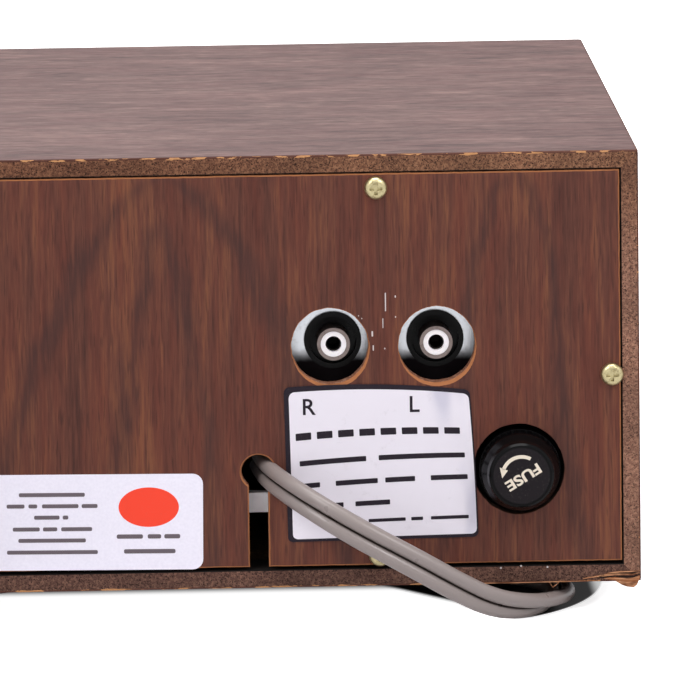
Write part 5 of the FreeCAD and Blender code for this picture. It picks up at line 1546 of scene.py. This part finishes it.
def strand(points, thick):
    """A thin band that follows points, narrowing towards both ends."""
    last = len(points) - 1
    half = [thick / 2 * (0.25 + 0.75 * math.sin(math.pi * min(max(n / last, 0.08), 0.92)))
            for n in range(last + 1)]
    upper = [(-x, z + h) for (x, z), h in zip(points, half)]
    lower = [(-x, z - h) for (x, z), h in zip(points, half)]
    return [[lower[n], lower[n + 1], upper[n + 1], upper[n]] for n in range(last)]


def strands(rows):
    return [quad for points, thick in rows for quad in strand(points, thick)]


def make_torn_wood():
    finish, tree, shader = new_finish("torn_wood", Roughness=0.85, Specular_IOR_Level=0.15)
    at = here(tree)
    threads = cloud(tree, stretched(tree, at, (160, 1500, 2600)), 1.0, 3.0, 0.6)
    patches = cloud(tree, stretched(tree, at, (260, 500, 700), shift=(1, 2, 3)), 1.0, 2.0)
    wood = blend(tree, between(tree, threads, 0.38, 0.62), colour(140, 84, 52),
                 colour(204, 150, 112))
    wood = blend(tree, between(tree, patches, 0.5, 0.68, 0.0, 0.8), wood, colour(84, 46, 30))
    wire(tree, shader, Base_Color=wood, Normal=bumped(tree, threads, 0.5, 0.0002))
    return finish


torn_wood = make_torn_wood()
print_shapes("torn_flap", [FLAP], rear_skin - Vector((0, FLAP_SUNK * MM, 0)), BEHIND, torn_wood,
             lift=FLAP_THICK)
print_shapes("torn_strands", strands(STRANDS), rear_skin, BEHIND, torn_wood,
             lift=STRAND_LIFT)
print_shapes("split_edge", strands(SPLITS), rear_skin, BEHIND,
             make_ink("split_shadow", (34, 18, 12)), lift=SPLIT_LIFT)
print(len(STRANDS), "strands over", len(SPLITS), "splits")

# %% [markdown]
# ## Marks of the fuse and the front
# The cap says what is behind it and which way it turns, in letters and an arrow of cream ink. They
# ride on the cap, so they turn and draw out with it.

# %% The fuse cap's mark
READING = math.radians(211.3)
WORD_AT, WORD_HIGH, WORD_WIDE = Vector((-0.4, 0, -0.4)), 2.8, 9.6
ARROW_FROM, ARROW_SWEEP, ARROW_STEPS, ARROW_INNER, ARROW_OUTER = 62, 98, 18, 4.4, 5.3
ARROW_HEAD = [(5.95, 158), (4.95, 186), (3.75, 158)]  # distance and direction of its corners


def polar(reach, degrees):
    return reach * math.cos(math.radians(degrees)), reach * math.sin(math.radians(degrees))


def arrow_shapes():
    """A curved band with a pointed head."""
    degrees = [ARROW_FROM + ARROW_SWEEP * n / ARROW_STEPS for n in range(ARROW_STEPS + 1)]
    shaft = [[polar(ARROW_OUTER, a), polar(ARROW_OUTER, b), polar(ARROW_INNER, b),
              polar(ARROW_INNER, a)] for a, b in zip(degrees, degrees[1:])]
    return shaft + [[polar(*corner) for corner in ARROW_HEAD]]


cream_ink = moulding("cream_ink", (226, 214, 196), 0.5, 0.1)
cap_face = Vector((fuse_x, fuse_high.y, fuse_z))
words("fuse_word", "FUSE", WORD_HIGH, cap_face + WORD_AT * MM, BEHIND, cream_ink,
      READING, WORD_WIDE, "cap", weight=0.03)
print_shapes("fuse_arrow", arrow_shapes(), cap_face, BEHIND, cream_ink, "cap")
print("fuse cap marked")

# %% [markdown]
# Each dial has eleven marks from 0 to 10, the longer ones with figures, and a pointer that rides
# on its knob. The volume stands at 10, because its joint turns it down from there to 0. The balance
# and the tone stand in their middle. Over each lamp the lens shows its program's number.

# %% Marks on the front
DIAL_FROM, DIAL_STEP, DIAL_MARKS = 230, 28, 11  # degrees, clockwise as the front is seen
MARK_INNER, MARK_OUTER, LONG_MARK_OUTER, MARK_HALF = 13, 14.6, 15.6, 0.25
FIGURES, FIGURE_REACH, FIGURE_HIGH = ((0, "0"), (5, "5"), (10, "10")), 18.2, 2.6
KNOBS = {"volume": -140, "balance": 0, "tone": 0}  # how far each pointer is turned at rest
PROGRAMS, PROGRAM_HIGH = 4, 4.2


def dial_mark(n):
    turn = math.radians(DIAL_FROM - DIAL_STEP * n)
    along = Vector((math.cos(turn), math.sin(turn)))
    side = Vector((-math.sin(turn), math.cos(turn))) * MARK_HALF
    reach = LONG_MARK_OUTER if n % 5 == 0 else MARK_OUTER
    return [tuple(p) for p in (along * MARK_INNER + side, along * reach + side,
                               along * reach - side, along * MARK_INNER - side)]


def mark_dial(knob, at_rest):
    low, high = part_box(knob + "_knob")
    centre = Vector(((low.x + high.x) / 2, fascia_y, (low.z + high.z) / 2))
    print_shapes(knob + "_scale", [dial_mark(n) for n in range(DIAL_MARKS)], centre, BEFORE,
                 black_ink)
    for n, text in FIGURES:
        turn = math.radians(DIAL_FROM - DIAL_STEP * n)
        spot = centre + Vector((math.cos(turn), 0, math.sin(turn))) * FIGURE_REACH * MM
        words(knob + "_figure_" + text, text, FIGURE_HIGH, spot, BEFORE, black_ink)
    pointer = [turned(a, b, at_rest) for a, b in rounded_box(0, 6.2, 1.0, 6.0, 0.3)]
    face = Vector((centre.x, low.y, centre.z))
    print_shapes(knob + "_pointer", [pointer], face, BEFORE, black_ink, knob)
    print(knob, "dial marked")


black_ink = moulding("black_ink", (30, 30, 32), 0.4, 0.0)
fascia_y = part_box("front_fascia")[0].y
for knob_name, rest_turn in KNOBS.items():
    mark_dial(knob_name, math.radians(rest_turn))
lens_low, lens_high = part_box("lens_strip")
for n in range(PROGRAMS):
    spot = Vector((lens_low.x + (lens_high.x - lens_low.x) * (n + 0.5) / PROGRAMS, lens_low.y,
                   (lens_low.z + lens_high.z) / 2))
    words("program_figure_%d" % (n + 1), str(n + 1), PROGRAM_HIGH, spot, BEFORE, cream_ink)
print(PROGRAMS, "programs numbered")

# %% [markdown]
# ## Finishing
# The last step shows colours through the plain Standard view transform.

# %% Finish
bpy.context.scene.view_settings.view_transform = "Standard"
